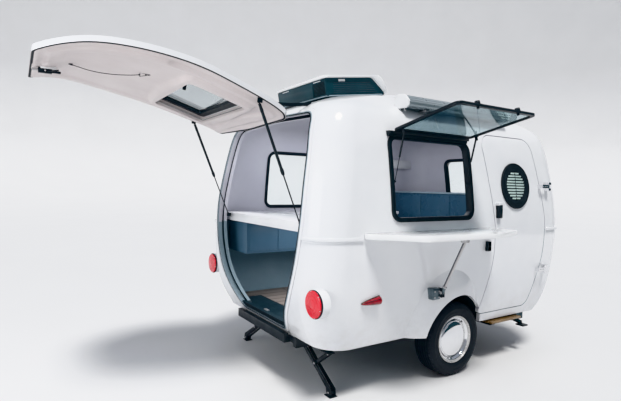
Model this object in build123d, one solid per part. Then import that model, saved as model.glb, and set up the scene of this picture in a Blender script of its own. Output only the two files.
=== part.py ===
from build123d import *
from math import atan2, cos, degrees, hypot, radians, sin, tan
import os

# Small moulded-shell teardrop trailer with a serving side.
# Millimetres. X forward to the coupler, Y left, Z up.
# Modelled about the point on the ground under the axle, then moved so that the
# origin is the centre of the ball socket in the coupler.

os.makedirs("parts", exist_ok=True)

COUPLER_X, BALL_Z = 2450.0, 437.0      # ball socket, from the axle and the ground
WALL = 35.0                            # moulded wall, lining and core together
GAP = 7.0                              # running gap round door and hatch
AXLE_Z = 324.0

NODES = {}


def put(name, shape):
    NODES[name] = shape


def box(x0, x1, y0, y1, z0, z1):
    return Pos((x0 + x1) / 2, (y0 + y1) / 2, (z0 + z1) / 2) * Box(abs(x1 - x0), abs(y1 - y0), abs(z1 - z0))


def rod(a, b, r, r_in=0.0):
    a, b = Vector(*a), Vector(*b)
    plane = Plane(origin=a, z_dir=b - a)
    section = Circle(r) if not r_in else Circle(r) - Circle(r_in)
    return extrude(plane * section, (b - a).length)


def flat(points, plane, radius=None):
    outline = FilletPolyline(*points, radius=radius, close=True) if radius else Polyline(*points, close=True)
    return plane * make_face(outline)


# ---------------------------------------------------------------- body shell
# Height, rear x, front x, half width and plan corner radius of the outer skin.
SKIN = (
    # z,    rear,   front,  half,  corner
    (420.0, -1362.0, 1400.0, 918.0, 215.0),
    (560.0, -1438.0, 1495.0, 957.0, 235.0),
    (760.0, -1506.0, 1541.0, 995.0, 250.0),
    (1010.0, -1528.0, 1566.0, 1022.0, 258.0),
    (1270.0, -1524.0, 1580.0, 1032.0, 260.0),
    (1520.0, -1503.0, 1571.0, 1018.0, 260.0),
    (1780.0, -1460.0, 1532.0, 986.0, 256.0),
    (2000.0, -1418.0, 1486.0, 950.0, 248.0),
    (2130.0, -1384.0, 1448.0, 915.0, 240.0),
    (2225.0, -1338.0, 1390.0, 868.0, 235.0),
    (2300.0, -1262.0, 1290.0, 785.0, 235.0),
    (2350.0, -1148.0, 1190.0, 714.0, 240.0),
    (2400.0, -975.0, 1050.0, 640.0, 240.0),
    (2445.0, -690.0, 880.0, 555.0, 240.0),
    (2480.0, -430.0, 690.0, 455.0, 235.0),
    (2502.0, -160.0, 470.0, 335.0, 205.0),
)


def skin(inset, z_floor=None):
    """Rounded-rectangle sections joined into one smooth body, inset along the normal."""
    rows = []
    for i, (z, rear, front, half, corner) in enumerate(SKIN):
        a, b = SKIN[max(i - 1, 0)], SKIN[min(i + 1, len(SKIN) - 1)]
        dz, dh = b[0] - a[0], b[3] - a[3]
        n = hypot(dz, dh)
        up, out = -dh / n, dz / n
        rows.append((z - inset * up, rear + inset * out, front - inset * out, half - inset * out, corner - 0.6 * inset * out))
    if z_floor is not None:
        a, b = rows[0], rows[1]
        t = (z_floor - a[0]) / (b[0] - a[0])
        rows[0] = (z_floor,) + tuple(a[k] + t * (b[k] - a[k]) for k in range(1, 5))
    faces = []
    for z, rear, front, half, corner in rows:
        faces.append(Pos((rear + front) / 2, 0, z) * RectangleRounded(front - rear, 2 * half, corner))
    return loft(faces)


outer = skin(0)
proud = skin(-12.0)
cabin = skin(WALL, z_floor=419.0)      # inner face of the walls, run down through the floor
FLOOR_Z = 462.0
jamb_out = skin(WALL + 9.0, z_floor=440.0)

# Wheel-arch blisters on both sides.
BLISTER = (-150.0, 862.0, 600.0, 480.0, 205.0, 560.0)   # centre x, y, z and half axes x, y, z
bx, by, bz, ax_, ay_, az_ = BLISTER
for side in (-1, 1):
    ball = scale(Sphere(100.0), by=(ax_ / 100, ay_ / 100, az_ / 100))
    lump = Pos(bx, side * by, bz) * ball & box(-700, 500, min(side * 880, side * 1200), max(side * 880, side * 1200), 420, 1250)
    outer = outer + lump

# Rear opening, seen along X: half width and height of its corners, and each corner's radius.
REAR_OPENING = ((0.0, 2226.0, 3000.0), (665.0, 2200.0, 105.0), (725.0, 1900.0, 1500.0), (776.0, 1400.0, 1300.0),
                (700.0, 960.0, 1200.0), (382.0, 478.0, 70.0))


HATCH_EDGE = REAR_OPENING[:-1] + ((412.3, 524.0, 70.0),)    # the hatch stops at the top of the sill


def rear_outline(grow=0.0, corners=REAR_OPENING):
    right = [(y, z, r) for y, z, r in corners]
    full = right + [(-y, z, r) for y, z, r in reversed(right[1:])]
    pts = [(y, z) for y, z, r in full]
    face = make_face(FilletPolyline(*pts, radius=[r for y, z, r in full], close=True))
    return offset(face, amount=grow) if grow else face


def rear_prism(grow=0.0):
    return extrude(Plane.YZ.offset(-1700) * rear_outline(grow), 560)


# Entry door on the right, seen along Y: x, z and corner radius.
DOOR = ((290.0, 497.0, 60.0), (402.0, 1000.0, 900.0), (398.0, 1300.0, 900.0), (258.0, 2142.0, 130.0),
        (1030.0, 2142.0, 150.0), (1196.0, 1360.0, 900.0), (1190.0, 1000.0, 900.0), (1055.0, 497.0, 90.0))


def side_prism(corners, y0, y1, grow=0.0):
    pts = [(x, z) for x, z, r in corners]
    face = make_face(FilletPolyline(*pts, radius=[r for x, z, r in corners], close=True))
    if grow:
        face = offset(face, amount=grow)
    # Plane.XZ looks along -Y: local x is X, local y is Z, its normal is -Y
    return extrude(Plane.XZ.offset(-max(y0, y1)) * face, abs(y1 - y0))


def window_prism(x0, x1, z0, z1, r, y0, y1, grow=0.0):
    face = Pos((x0 + x1) / 2, (z0 + z1) / 2) * RectangleRounded(x1 - x0 + 2 * grow, z1 - z0 + 2 * grow, r + grow)
    return extrude(Plane.XZ.offset(-max(y0, y1)) * face, abs(y1 - y0))


# Side windows: x from, x to, z from, z to, corner radius of the cut in the wall.
SERVE = (-847.0, 69.0, 1400.0, 2033.0, 70.0)      # right side, under the flap
LEFT = (-860.0, 80.0, 1410.0, 2010.0, 70.0)      # left side, fixed glass
FRONT = (-430.0, 430.0, 1545.0, 2000.0, 80.0)     # front, across Y

lower_cut = box(-1700, 1700, -1300, 1300, 300, 1266)
upper_cut = box(-1700, 1700, -1300, 1300, 1266, 2500)

hollow = outer - cabin
opening = rear_prism()
door_hole = side_prism(DOOR, -1200, -700)
serve_hole = window_prism(*SERVE, -1200, -800)
left_hole = window_prism(*LEFT, 800, 1200)
front_hole = extrude(Plane.YZ.offset(1300) * (Pos(0, (FRONT[2] + FRONT[3]) / 2) * RectangleRounded(FRONT[1] - FRONT[0], FRONT[3] - FRONT[2], FRONT[4])), 400)

shell = hollow - opening - door_hole - serve_hole - left_hole - front_hole

WELL_X, WELL_Z, WELL_R, WELL_IN, LIP_Y = -5.0, 335.0, 392.0, 700.0, 985.0
housings, pan = Part(), cabin & box(-1700, 1700, -1300, 1300, 420, FLOOR_Z)
for side in (-1, 1):
    housing = Pos(WELL_X, side * (WELL_IN - 22 + 1200) / 2, WELL_Z) * Rot(90, 0, 0) * Cylinder(WELL_R + 24, 1200 - WELL_IN + 22)
    well = Pos(WELL_X, side * (WELL_IN + LIP_Y) / 2, WELL_Z) * Rot(90, 0, 0) * Cylinder(WELL_R, LIP_Y - WELL_IN)
    if side == 1:
        inner_well = (housing & cabin & box(-1700, 1700, -1300, 1300, 420, 1200)) - well
        housings = housings + inner_well + mirror(inner_well, about=Plane.XZ)
    pan = pan - housing
    shell = shell - well
    shell = shell - Pos(-62, side * (LIP_Y - 1 + 1200) / 2, 368) * Rot(90, 0, 0) * Cylinder(374.0, 1200 - LIP_Y + 1)
put("floor_pan", pan)
put("wheel_housings", housings)
put("lower_shell", shell & lower_cut)
put("upper_shell", shell & upper_cut)

# Belt moulding over the seam, broken at the rear opening, the door and the shelf.
SHELF_X0, SHELF_X1 = -1140.0, 318.0
band = (proud - outer) & box(-1700, 1700, -1300, 1300, 1254, 1280)
band = band - rear_prism(52) - side_prism(DOOR, -1200, -700, 14) - box(SHELF_X0 - 6, SHELF_X1 + 6, -1200, -900, 1200, 1400)
put("belt_moulding", band)

# ---------------------------------------------------------------- rear hatch (built shut, stored open)
HATCH_X, HATCH_Z = -1465.0, 2275.0      # hinge line, along Y
HATCH_OPEN = 97.2
HATCH_WINDOW_Z = 1705.0
hatch_window = extrude(Plane.YZ.offset(-1700) * (Pos(0, HATCH_WINDOW_Z) * RectangleRounded(920, 450, 40)), 560)


def hatch_up(shape):
    return Pos(HATCH_X, 0, HATCH_Z) * Rot(0, HATCH_OPEN, 0) * Pos(-HATCH_X, 0, -HATCH_Z) * shape


leaf = extrude(Plane.YZ.offset(-1700) * rear_outline(-GAP, HATCH_EDGE), 560)
hatch = (hollow & leaf) - hatch_window
put("rear_hatch", hatch_up(hatch))
glass_ring = extrude(Plane.YZ.offset(-1700) * (Pos(0, HATCH_WINDOW_Z) * (RectangleRounded(964, 494, 62) - RectangleRounded(816, 346, 28))), 560)
put("hatch_window_frame", hatch_up((proud - skin(28.0)) & glass_ring) - NODES["rear_hatch"])
put("hatch_window_glass", hatch_up((skin(8.0) - skin(12.0)) & extrude(Plane.YZ.offset(-1700) * (Pos(0, HATCH_WINDOW_Z) * RectangleRounded(815, 345, 27)), 560)))
jamb = (rear_prism(10) - rear_prism(-24)) & jamb_out
# The jamb lines the opening from inside; its sill stands in the opening, below the hatch's lower edge.
sill = (skin(6.0) - jamb_out) & rear_prism(0) & box(-1700, -1200, -600, 600, 440, 523)
put("rear_jamb", (jamb - Pos(34, 0, 0) * jamb_out) + sill)
rim_ring = (rear_prism(46) - rear_prism(0)) & skin(-10.0)
put("rear_rim", rim_ring - outer)

# Two stand-off hinges at the top of the hatch: an arm from the roof, and one from the hatch.
HATCH_HINGE_Y = (-470.0, 470.0)
ARM_FIX = ((-1250.0, 2290.0), (-1250.0, 2316.0), (-1460.0, 2288.0), (-1474.0, 2270.0), (-1460.0, 2262.0))
ARM_MOVE = ((-1405.0, 2080.0), (-1419.0, 2086.0), (-1455.0, 2268.0), (-1462.0, 2288.0), (-1478.0, 2280.0), (-1446.0, 2100.0), (-1431.0, 2040.0), (-1405.0, 2040.0))
fixed_leaf, moving_leaf = Part(), Part()
for y in HATCH_HINGE_Y:
    arm = extrude(Plane.XZ.offset(-y - 9) * make_face(Polyline(*ARM_FIX, close=True)), 18)
    fixed_leaf = fixed_leaf + arm + rod((HATCH_X, y - 9, HATCH_Z), (HATCH_X, y + 9, HATCH_Z), 13)
    fixed_leaf = fixed_leaf - rod((HATCH_X, y - 30, HATCH_Z), (HATCH_X, y + 30, HATCH_Z), 5.1)
    for s in (-1, 1):
        arm = extrude(Plane.XZ.offset(-y - s * 14 - 4) * make_face(Polyline(*ARM_MOVE, close=True)), 8)
        moving_leaf = moving_leaf + arm + rod((HATCH_X, y + s * 14 - 4, HATCH_Z), (HATCH_X, y + s * 14 + 4, HATCH_Z), 12)
    moving_leaf = moving_leaf + rod((HATCH_X, y - 17, HATCH_Z), (HATCH_X, y + 17, HATCH_Z), 5.0)
hinge_fixed = fixed_leaf - outer
hinge_leaf = moving_leaf - outer

# Latch under the free end: a boss on the lining, the case, its bolt and its lever (in the stored pose).
latch = box(-3142, -3042, -20, 20, 2406, 2462) + box(-3154, -3070, -14, 14, 2374, 2411)
latch = latch + box(-3190, -3150, -8, 8, 2387, 2402) + box(-3074, -3016, -8, 8, 2383, 2400)
put("hatch_latch", latch - NODES["rear_hatch"])

# ---------------------------------------------------------------- hatch gas struts (tube on the hatch, rod to the jamb)
STRUT_Y = 670.0
STRUT_TOP = (-1374.0, 1926.0)           # on the shut hatch: x, z
STRUT_FOOT = (-1454.0, 1342.0)          # on the jamb: x, z
hx, hz = STRUT_TOP[0] - HATCH_X, STRUT_TOP[1] - HATCH_Z
co, so = cos(radians(HATCH_OPEN)), sin(radians(HATCH_OPEN))
TOP_OPEN = (HATCH_X + hx * co + hz * so, HATCH_Z - hx * so + hz * co)
strut_len = hypot(TOP_OPEN[0] - STRUT_FOOT[0], TOP_OPEN[1] - STRUT_FOOT[1])
shut_len = hypot(STRUT_TOP[0] - STRUT_FOOT[0], STRUT_TOP[1] - STRUT_FOOT[1])
print("hatch strut open", round(strut_len, 1), "shut", round(shut_len, 1), "top", TOP_OPEN)
sdx, sdz = (STRUT_FOOT[0] - TOP_OPEN[0]) / strut_len, (STRUT_FOOT[1] - TOP_OPEN[1]) / strut_len


def strut_pt(t, y):
    return (TOP_OPEN[0] + sdx * t, y, TOP_OPEN[1] + sdz * t)


TUBE_LEN = shut_len - 40.0
for tag, y in (("left", STRUT_Y), ("right", -STRUT_Y)):
    tube = rod(strut_pt(14, y), strut_pt(TUBE_LEN, y), 11.0) - rod(strut_pt(26, y), strut_pt(TUBE_LEN + 1, y), 6.2)
    eye = Pos(TOP_OPEN[0], y, TOP_OPEN[1]) * Rot(90, 0, 0) * (Cylinder(9.0, 12) - Cylinder(4.3, 14))
    eye = eye + (rod(strut_pt(7, y), strut_pt(15, y), 5.5))
    eye = eye - Pos(TOP_OPEN[0], y, TOP_OPEN[1]) * Rot(90, 0, 0) * Cylinder(4.3, 14)
    put(f"hatch_strut_tube_{tag}", tube + eye)
    shaft = rod(strut_pt(strut_len - (TUBE_LEN - 34), y), strut_pt(strut_len - 6, y), 5.0)
    foot = Pos(STRUT_FOOT[0], y, STRUT_FOOT[1]) * Rot(90, 0, 0) * Cylinder(9.0, 12)
    shaft = (shaft + foot) - Pos(STRUT_FOOT[0], y, STRUT_FOOT[1]) * Rot(90, 0, 0) * Cylinder(5.3, 14)
    put(f"hatch_strut_rod_{tag}", shaft)
# Studs: on the hatch outboard of the tube's eye, on the jamb outboard of the rod's eye.
studs, lugs, inner_face = Part(), Part(), skin(WALL + 0.5)
for s in (-1, 1):
    y = s * STRUT_Y
    lugs = lugs + (rod((STRUT_TOP[0], y - s * 8, STRUT_TOP[1]), (STRUT_TOP[0], y + s * 14, STRUT_TOP[1]), 4.0)
                   + (inner_face & box(STRUT_TOP[0] - 60, STRUT_TOP[0] + 7, y + s * 13, y + s * 18, STRUT_TOP[1] - 20, STRUT_TOP[1] + 20)))
    studs = studs + (rod((STRUT_FOOT[0], y - s * 8, STRUT_FOOT[1]), (STRUT_FOOT[0], y + s * 12, STRUT_FOOT[1]), 4.0)
                     + box(STRUT_FOOT[0] - 12, STRUT_FOOT[0] + 30, y + s * 8, y + s * 14, STRUT_FOOT[1] - 16, STRUT_FOOT[1] + 16)
                     + box(STRUT_FOOT[0] + 10, STRUT_FOOT[0] + 30, y + s * 8, y + s * 92, STRUT_FOOT[1] - 16, STRUT_FOOT[1] + 16))

# Pull cord along the lining of the open hatch: from an eye near the latch to a triangular ring on a peg.
# Its route is (along, height) in the upright plane through the eye, in the stored pose.
CORD_FROM, CORD_DIR, CORD_R = (-2958.0, -20.0), (0.9263, -0.3769), 2.5
CORD_ROUTE = ((14.0, 2452.0), (60.0, 2438.0), (116.0, 2422.5), (174.0, 2411.5), (236.0, 2404.5), (300.0, 2401.5),
              (360.0, 2401.8), (414.0, 2404.5), (453.0, 2409.0))


def cord_pt(along, height, aside=0.0):
    return (CORD_FROM[0] + CORD_DIR[0] * along - CORD_DIR[1] * aside, CORD_FROM[1] + CORD_DIR[1] * along + CORD_DIR[0] * aside, height)


route = [Vector(*cord_pt(*p)) for p in CORD_ROUTE]
bends = []
for a, b, c in zip(route, route[1:], route[2:]):
    turn = (b - a).get_angle(c - b)
    bends.append(0.45 * min((b - a).length, (c - b).length) / tan(radians(turn / 2)))
print("cord runs", [round((b - a).length, 1) for a, b in zip(route, route[1:])], "radii", [round(r) for r in bends])
cord_path = FilletPolyline(*route, radius=bends)
cord = sweep(Plane(origin=route[0], z_dir=route[1] - route[0]) * Circle(CORD_R), path=cord_path)
print("cord length", round(cord_path.length, 1), "volume", round(cord.volume, 1), "section by length", round(3.14159265 * CORD_R ** 2 * cord_path.length, 1))
put("pull_cord", cord)
RING = ((464.0, 2426.0), (461.5, 2399.0), (534.0, 2411.5))
ring = rod(cord_pt(453.0, 2409.0), cord_pt(466.0, 2410.5), 4.5)
for i in range(3):
    ring = ring + rod(cord_pt(*RING[i]), cord_pt(*RING[(i + 1) % 3]), 1.9) + Pos(*cord_pt(*RING[i])) * Sphere(1.9)
put("pull_ring", ring)
eye = rod(cord_pt(-10.0, 2459.3), cord_pt(14.0, 2452.0), 6.0) + Pos(*cord_pt(0.0, 2475.0)) * Box(24, 24, 40)
peg = rod(cord_pt(503.0, 2412.6, -8.0), cord_pt(503.0, 2412.6, 9.0), 2.2) + Pos(*cord_pt(503.0, 2425.0, 9.0)) * Cylinder(5.0, 32) + Pos(*cord_pt(503.0, 2434.0, 9.0)) * Cylinder(11.0, 22)
cord_fittings = (eye + peg) - NODES["rear_hatch"]
put("hatch_fittings", hatch_up((lugs - hollow) + hinge_leaf) + cord_fittings)
put("hatch_mounts", (studs - NODES["rear_jamb"]) + hinge_fixed)

# ---------------------------------------------------------------- serving window and its flap
put("serve_frame", (proud - jamb_out) & (window_prism(*SERVE, -1200, -800, 20) - window_prism(*SERVE, -1200, -800, -14)))
FLAP_Y, FLAP_Z = -978.0, 2064.0         # hinge line, along X
FLAP_X0, FLAP_X1, FLAP_L = -850.0, 40.0, 618.0
hinge_rail = box(FLAP_X0 - 12, FLAP_X1 + 12, FLAP_Y + 11, -880, FLAP_Z - 28, FLAP_Z + 14)
for x0, x1, pin in ((FLAP_X0 - 12, FLAP_X0 - 3, FLAP_X0 + 24), (FLAP_X1 + 3, FLAP_X1 + 12, FLAP_X1 - 24)):
    hinge_rail = hinge_rail + box(x0, x1, FLAP_Y - 8, -900, FLAP_Z - 9, FLAP_Z + 9) + rod((min(x0, pin), FLAP_Y, FLAP_Z), (max(x1, pin), FLAP_Y, FLAP_Z), 4.0)
put("serve_frame", (NODES["serve_frame"] - shell) + (hinge_rail - outer))
FLAP_UP = 12.5                          # stored angle above level
FLAP_SHUT = -83.3                       # angle of the shut flap, below level


def flap_at(shape, angle=FLAP_UP):
    # local x along X, local y out along the flap, local z its outer face
    return Pos(0, FLAP_Y, FLAP_Z) * Rot(-angle, 0, 0) * shape


flap_face = Pos((FLAP_X0 + FLAP_X1) / 2, -(12 + FLAP_L) / 2 - 0) * RectangleRounded(FLAP_X1 - FLAP_X0, FLAP_L - 12, 45)
flap_hole = Pos((FLAP_X0 + FLAP_X1) / 2, -(12 + FLAP_L) / 2 - 0) * RectangleRounded(FLAP_X1 - FLAP_X0 - 52, FLAP_L - 12 - 52, 30)
flap_body = (extrude(flap_face - flap_hole, 18) - extrude(Pos((FLAP_X0 + FLAP_X1) / 2, -(12 + FLAP_L) / 2, 6) * RectangleRounded(FLAP_X1 - FLAP_X0 - 40, FLAP_L - 12 - 40, 34), 6))
knuckle = rod((FLAP_X0 + 4, 0, 0), (FLAP_X1 - 4, 0, 0), 8.0) + box(FLAP_X0 + 24, FLAP_X1 - 24, -30, 0, -2, 8)
for x in (FLAP_X0 + 4, FLAP_X1 - 28):
    knuckle = knuckle - rod((x, 0, 0), (x + 24, 0, 0), 4.4)
put("flap_frame", flap_at(flap_body + knuckle))
put("flap_glass", flap_at(extrude(Pos((FLAP_X0 + FLAP_X1) / 2, -(12 + FLAP_L) / 2, 7) * RectangleRounded(FLAP_X1 - FLAP_X0 - 42, FLAP_L - 12 - 42, 33), 4)))

# Flap stays: tube on the flap, rod to the frame.
STAY_X = (-815.0, 18.0)
STAY_U, STAY_V = 96.0, -26.0            # upper pivot on the flap: out along it, and below its inner face
STAY_FOOT = (-996.0, 1690.0)            # lower pivot at the frame: y, z


def flap_pt(u, v, angle):
    a = radians(angle)
    return (FLAP_Y - u * cos(a) + v * sin(a), FLAP_Z + u * sin(a) + v * cos(a))


stay_top, stay_top_shut = flap_pt(STAY_U, STAY_V, FLAP_UP), flap_pt(STAY_U, STAY_V, FLAP_SHUT)
stay_len = hypot(stay_top[0] - STAY_FOOT[0], stay_top[1] - STAY_FOOT[1])
stay_shut = hypot(stay_top_shut[0] - STAY_FOOT[0], stay_top_shut[1] - STAY_FOOT[1])
print("stay open", round(stay_len, 1), "shut", round(stay_shut, 1), stay_top, stay_top_shut)
tdy, tdz = (STAY_FOOT[0] - stay_top[0]) / stay_len, (STAY_FOOT[1] - stay_top[1]) / stay_len
STAY_TUBE = 190.0


def stay_pt(x, t):
    return (x, stay_top[0] + tdy * t, stay_top[1] + tdz * t)


for tag, x in (("rear", STAY_X[0]), ("front", STAY_X[1])):
    tube = rod(stay_pt(x, 4), stay_pt(x, STAY_TUBE), 7.0) - rod(stay_pt(x, 20), stay_pt(x, STAY_TUBE + 1), 4.0)
    tube = tube + Pos(x, stay_top[0], stay_top[1]) * Rot(0, 90, 0) * Cylinder(7.0, 10)
    tube = tube - Pos(x, stay_top[0], stay_top[1]) * Rot(0, 90, 0) * Cylinder(3.4, 12)
    put(f"stay_tube_{tag}", tube)
    shaft = rod(stay_pt(x, 130), stay_pt(x, stay_len - 4), 3.0) + Pos(x, *STAY_FOOT) * Rot(0, 90, 0) * Cylinder(7.0, 10)
    put(f"stay_rod_{tag}", shaft - Pos(x, *STAY_FOOT) * Rot(0, 90, 0) * Cylinder(3.6, 12))
flap_lugs, frame_lugs = Part(), Part()
for x, s in zip(STAY_X, (-1, 1)):
    lug = box(x + s * 7, x + s * 11, -(STAY_U + 12), -(STAY_U - 12), STAY_V - 8, 0) + Pos(x + s * 2, -STAY_U, STAY_V) * Rot(0, 90, 0) * Cylinder(3.1, 16)
    plate = box(x + s * 7, x + s * 26, -(STAY_U + 12), -(STAY_U - 12), -4, 0)
    flap_lugs = flap_lugs + lug + plate
    frame_lugs = frame_lugs + (Pos(x + s * 3, *STAY_FOOT) * Rot(0, 90, 0) * Cylinder(3.2, 18) + box(x + s * 8, x + s * 12, STAY_FOOT[0] - 8, STAY_FOOT[0] + 12, STAY_FOOT[1] - 12, STAY_FOOT[1] + 12)
                  + box(x + s * 8, x + s * 16, STAY_FOOT[0] + 0, STAY_FOOT[0] + 12, STAY_FOOT[1] - 12, STAY_FOOT[1] + 12))
put("stay_brackets", frame_lugs - NODES["serve_frame"] - shell)
knobs = Part()
for x in (-635.0, -180.0):
    knobs = knobs + Pos(x, -(FLAP_L - 16), 18 + 11) * Cylinder(17.0, 22) + Pos(x, -(FLAP_L - 16), -7) * Cylinder(9.0, 14)
put("flap_fittings", flap_at(flap_lugs + knobs))

# ---------------------------------------------------------------- fixed glass, left and front
left_frame = ((proud - jamb_out) & (window_prism(*LEFT, 800, 1200, 20) - window_prism(*LEFT, 800, 1200, -14))) - shell
left_glass = (skin(12.0) - skin(17.0)) & window_prism(*LEFT, 800, 1200, -15)


def front_prism(grow):
    return extrude(Plane.YZ.offset(1300) * (Pos(0, (FRONT[2] + FRONT[3]) / 2) * RectangleRounded(FRONT[1] - FRONT[0] + 2 * grow, FRONT[3] - FRONT[2] + 2 * grow, FRONT[4] + grow)), 400)


put("fixed_window_frames", left_frame + (((proud - jamb_out) & (front_prism(20) - front_prism(-14))) - shell))
put("fixed_window_glass", left_glass + ((skin(12.0) - skin(17.0)) & front_prism(-15)))

# ---------------------------------------------------------------- entry door
DOOR_X, DOOR_Y = 1203.0, -1046.0        # vertical hinge line
PORT_X, PORT_Z, PORT_R = 718.0, 1681.0, 150.0
port_hole = Pos(PORT_X, -1000, PORT_Z) * Rot(90, 0, 0) * Cylinder(PORT_R, 400)
door = (hollow & side_prism(DOOR, -1200, -700, -GAP)) - port_hole
put("entry_door", door)
put("porthole_ring", (proud - outer) & (Pos(PORT_X, -1000, PORT_Z) * Rot(90, 0, 0) * (Cylinder(213.0, 400) - Cylinder(138.0, 402))))
put("porthole_glass", (skin(12.0) - skin(17.0)) & (Pos(PORT_X, -1000, PORT_Z) * Rot(90, 0, 0) * Cylinder(PORT_R - 1, 400)))
put("door_handle", (box(415, 459, -1062, -1000, 1392, 1522) - outer))
straps, posts = Part(), Part()
for z in (866.0, 1684.0):
    straps = straps + (box(1092, DOOR_X, -1052, -1046, z - 16, z + 16) + box(1092, 1110, -1052, -960, z - 16, z + 16) + rod((DOOR_X, DOOR_Y, z - 16), (DOOR_X, DOOR_Y, z + 16), 9))
    posts = posts + (rod((DOOR_X, DOOR_Y, z - 40), (DOOR_X, DOOR_Y, z - 17), 9) + rod((DOOR_X, DOOR_Y, z + 17), (DOOR_X, DOOR_Y, z + 40), 9)
                     + box(DOOR_X - 2, DOOR_X + 34, -1052, -940, z - 40, z - 18) + box(DOOR_X - 2, DOOR_X + 34, -1052, -940, z + 18, z + 40))
put("door_hinge_straps", straps - outer)
put("door_hinge_posts", posts - outer)

# ---------------------------------------------------------------- serving shelf and its brace
SHELF = ((SHELF_X0, -1034.0), (-1128.0, -1090.0), (-850.0, -1385.0), (-80.0, -1412.0), (300.0, -1310.0), (SHELF_X1, -1250.0), (SHELF_X1, -1034.0))
shelf_face = make_face(FilletPolyline(*SHELF, radius=[8, 120, 160, 700, 60, 30, 8], close=True))
put("serving_shelf", extrude(Pos(0, 0, 1268) * shelf_face, 38))
brace_lo, brace_hi = (-338.0, -1078.0, 800.0), (-335.0, -1280.0, 1243.0)
foot_plate = box(-430, -345, -1066, -980, 744, 836) + box(-352, -324, -1088, -980, 760, 836) - skin(0) - outer
put("shelf_brace", foot_plate + box(-360, -316, -1306, -1256, 1230, 1268) + rod(brace_lo, brace_hi, 11.0))
put("outlet_box", box(266, 312, -1060, -1000, 1098, 1184) - outer - door_hole)

# ---------------------------------------------------------------- lamps
lamps, lamp_bases, markers, marker_bases = Part(), Part(), Part(), Part()
for s in (-1, 1):
    lamp_bases = lamp_bases + (Pos(-1470, s * 945, 813) * Rot(0, 90, 0) * Cylinder(100.0, 80) - outer - skin(0))
    lamps = lamps + Pos(-1518, s * 945, 813) * Rot(0, 90, 0) * Cylinder(98.0, 16)
    m2 = extrude(Plane.XZ.offset(-s * 1040) * make_face(FilletPolyline((-1120, 782), (-1045, 816), (-957, 829), (-957, 763), (-1045, 765), radius=[3, 60, 9, 9, 60], close=True)), 40, both=True)
    markers = markers + ((m2 & (skin(-34.0) - outer)))
put("tail_lamp_bases", lamp_bases)
put("lamp_lenses", lamps + markers)

# ---------------------------------------------------------------- roof: air conditioner and rolled awning
AC_TILT, AC_PIVOT = 8.0, (-1032.0, 2404.0)   # it follows the rise of the roof


def on_roof(shape):
    return Pos(AC_PIVOT[0], 0, AC_PIVOT[1]) * Rot(0, -AC_TILT, 0) * Pos(-AC_PIVOT[0], 0, -AC_PIVOT[1] - 20.0) * shape


ac_gasket = on_roof(box(-960, -450, -240, 240, 2380, 2426)) - outer
AC_SIDE = ((-1032.0, 2424.0), (-1044.0, 2577.0), (-530.0, 2577.0), (-392.0, 2446.0), (-392.0, 2424.0))
AC_TOP = ((-1062.0, 2577.0), (-1050.0, 2606.0), (-940.0, 2622.0), (-560.0, 2624.0), (-440.0, 2590.0), (-352.0, 2470.0), (-342.0, 2436.0),
          (-376.0, 2436.0), (-391.5, 2446.0), (-530.0, 2577.6))
ac_sec = make_face(FilletPolyline(*AC_SIDE, radius=[14, 10, 60, 20, 4], close=True))
top_sec = make_face(FilletPolyline(*AC_TOP, radius=[4, 22, 200, 220, 90, 40, 6, 6, 6, 60], close=True))
ac_plan = extrude(Pos(-700, 0, 2380) * RectangleRounded(760, 800, 62), 300)
top_plan = extrude(Pos(-702, 0, 2380) * RectangleRounded(740, 840, 70), 300)
put("ac_body", ac_gasket + (on_roof(extrude(Plane.XZ.offset(-400) * ac_sec, 800) & ac_plan) - Pos(0, 0, 2.5) * outer - outer))
crown = Pos(0, 0, 2624.0 - 3200.0) * Rot(0, 90, 0) * Cylinder(3200.0, 3000)
put("ac_cap", on_roof(extrude(Plane.XZ.offset(-420) * top_sec, 840) & top_plan & crown))

AWN = ((-760.0, 2296.0), (-760.0, 2388.0), (-800.0, 2402.0), (-872.0, 2392.0), (-914.0, 2345.0), (-914.0, 2300.0), (-884.0, 2288.0))
AWN_X0, AWN_X1 = -600.0, 700.0
awn_face = make_face(FilletPolyline(*AWN, radius=[6, 14, 26, 30, 26, 10, 6], close=True))
awning = extrude(Plane.YZ.offset(AWN_X0) * awn_face, AWN_X1 - AWN_X0)
big = offset(awn_face, amount=5)
put("awning_case", (awning + extrude(Plane.YZ.offset(AWN_X0 - 14) * big, 14) + extrude(Plane.YZ.offset(AWN_X1) * big, 14)) - outer)

# ---------------------------------------------------------------- frame, tongue and coupler
rails = Part()
for s in (-1, 1):
    rails = rails + box(-1380, 1440, s * 500 - 25, s * 500 + 25, 344, 419)
cross = Part()
for x in (-1225.0, -620.0, 620.0, 1250.0):
    cross = cross + box(x - 25, x + 25, -475, 475, 354, 409)
put("frame_rails", rails + cross + box(-1440, -1379, -436, 436, 372, 418) + box(-1440, -1400, -436, 436, 417, 446) + box(-1382, -1370, -476, 476, 372, 418))
tongue = Part()
for s in (-1, 1):
    bar = Polyline((1190, s * 500 - 28 * s), (2330, s * 34), (2420, s * 34))
    arm = make_face(Polyline((900, s * 450), (1180, s * 450), (2290, s * 10), (2440, s * 10), (2440, s * 60), (2302, s * 60), (1192, s * 474), (900, s * 474), close=True))
    tongue = tongue + extrude(Pos(0, 0, 282) * arm, 61)
put("tongue", tongue + box(1900, 1950, -150, 150, 290, 335) - Pos(COUPLER_X, 0, 310) * Cylinder(44, 120))
socket = (box(2290, 2440, -34, 34, 344, 430) + Pos(COUPLER_X, 0, 440) * Cylinder(46, 60) + box(2380, 2450, -46, 46, 410, 470))
socket = socket - Pos(COUPLER_X, 0, 437) * Cylinder(25.7, 60) - Pos(COUPLER_X, 0, 370) * Cylinder(44, 80)
socket = socket + Pos(COUPLER_X, 0, 466) * Cylinder(46, 12)
put("coupler", socket + box(2395, 2425, -9, 9, 468, 520) + rod((2380, 0, 520), (2470, 0, 528), 8))

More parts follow.
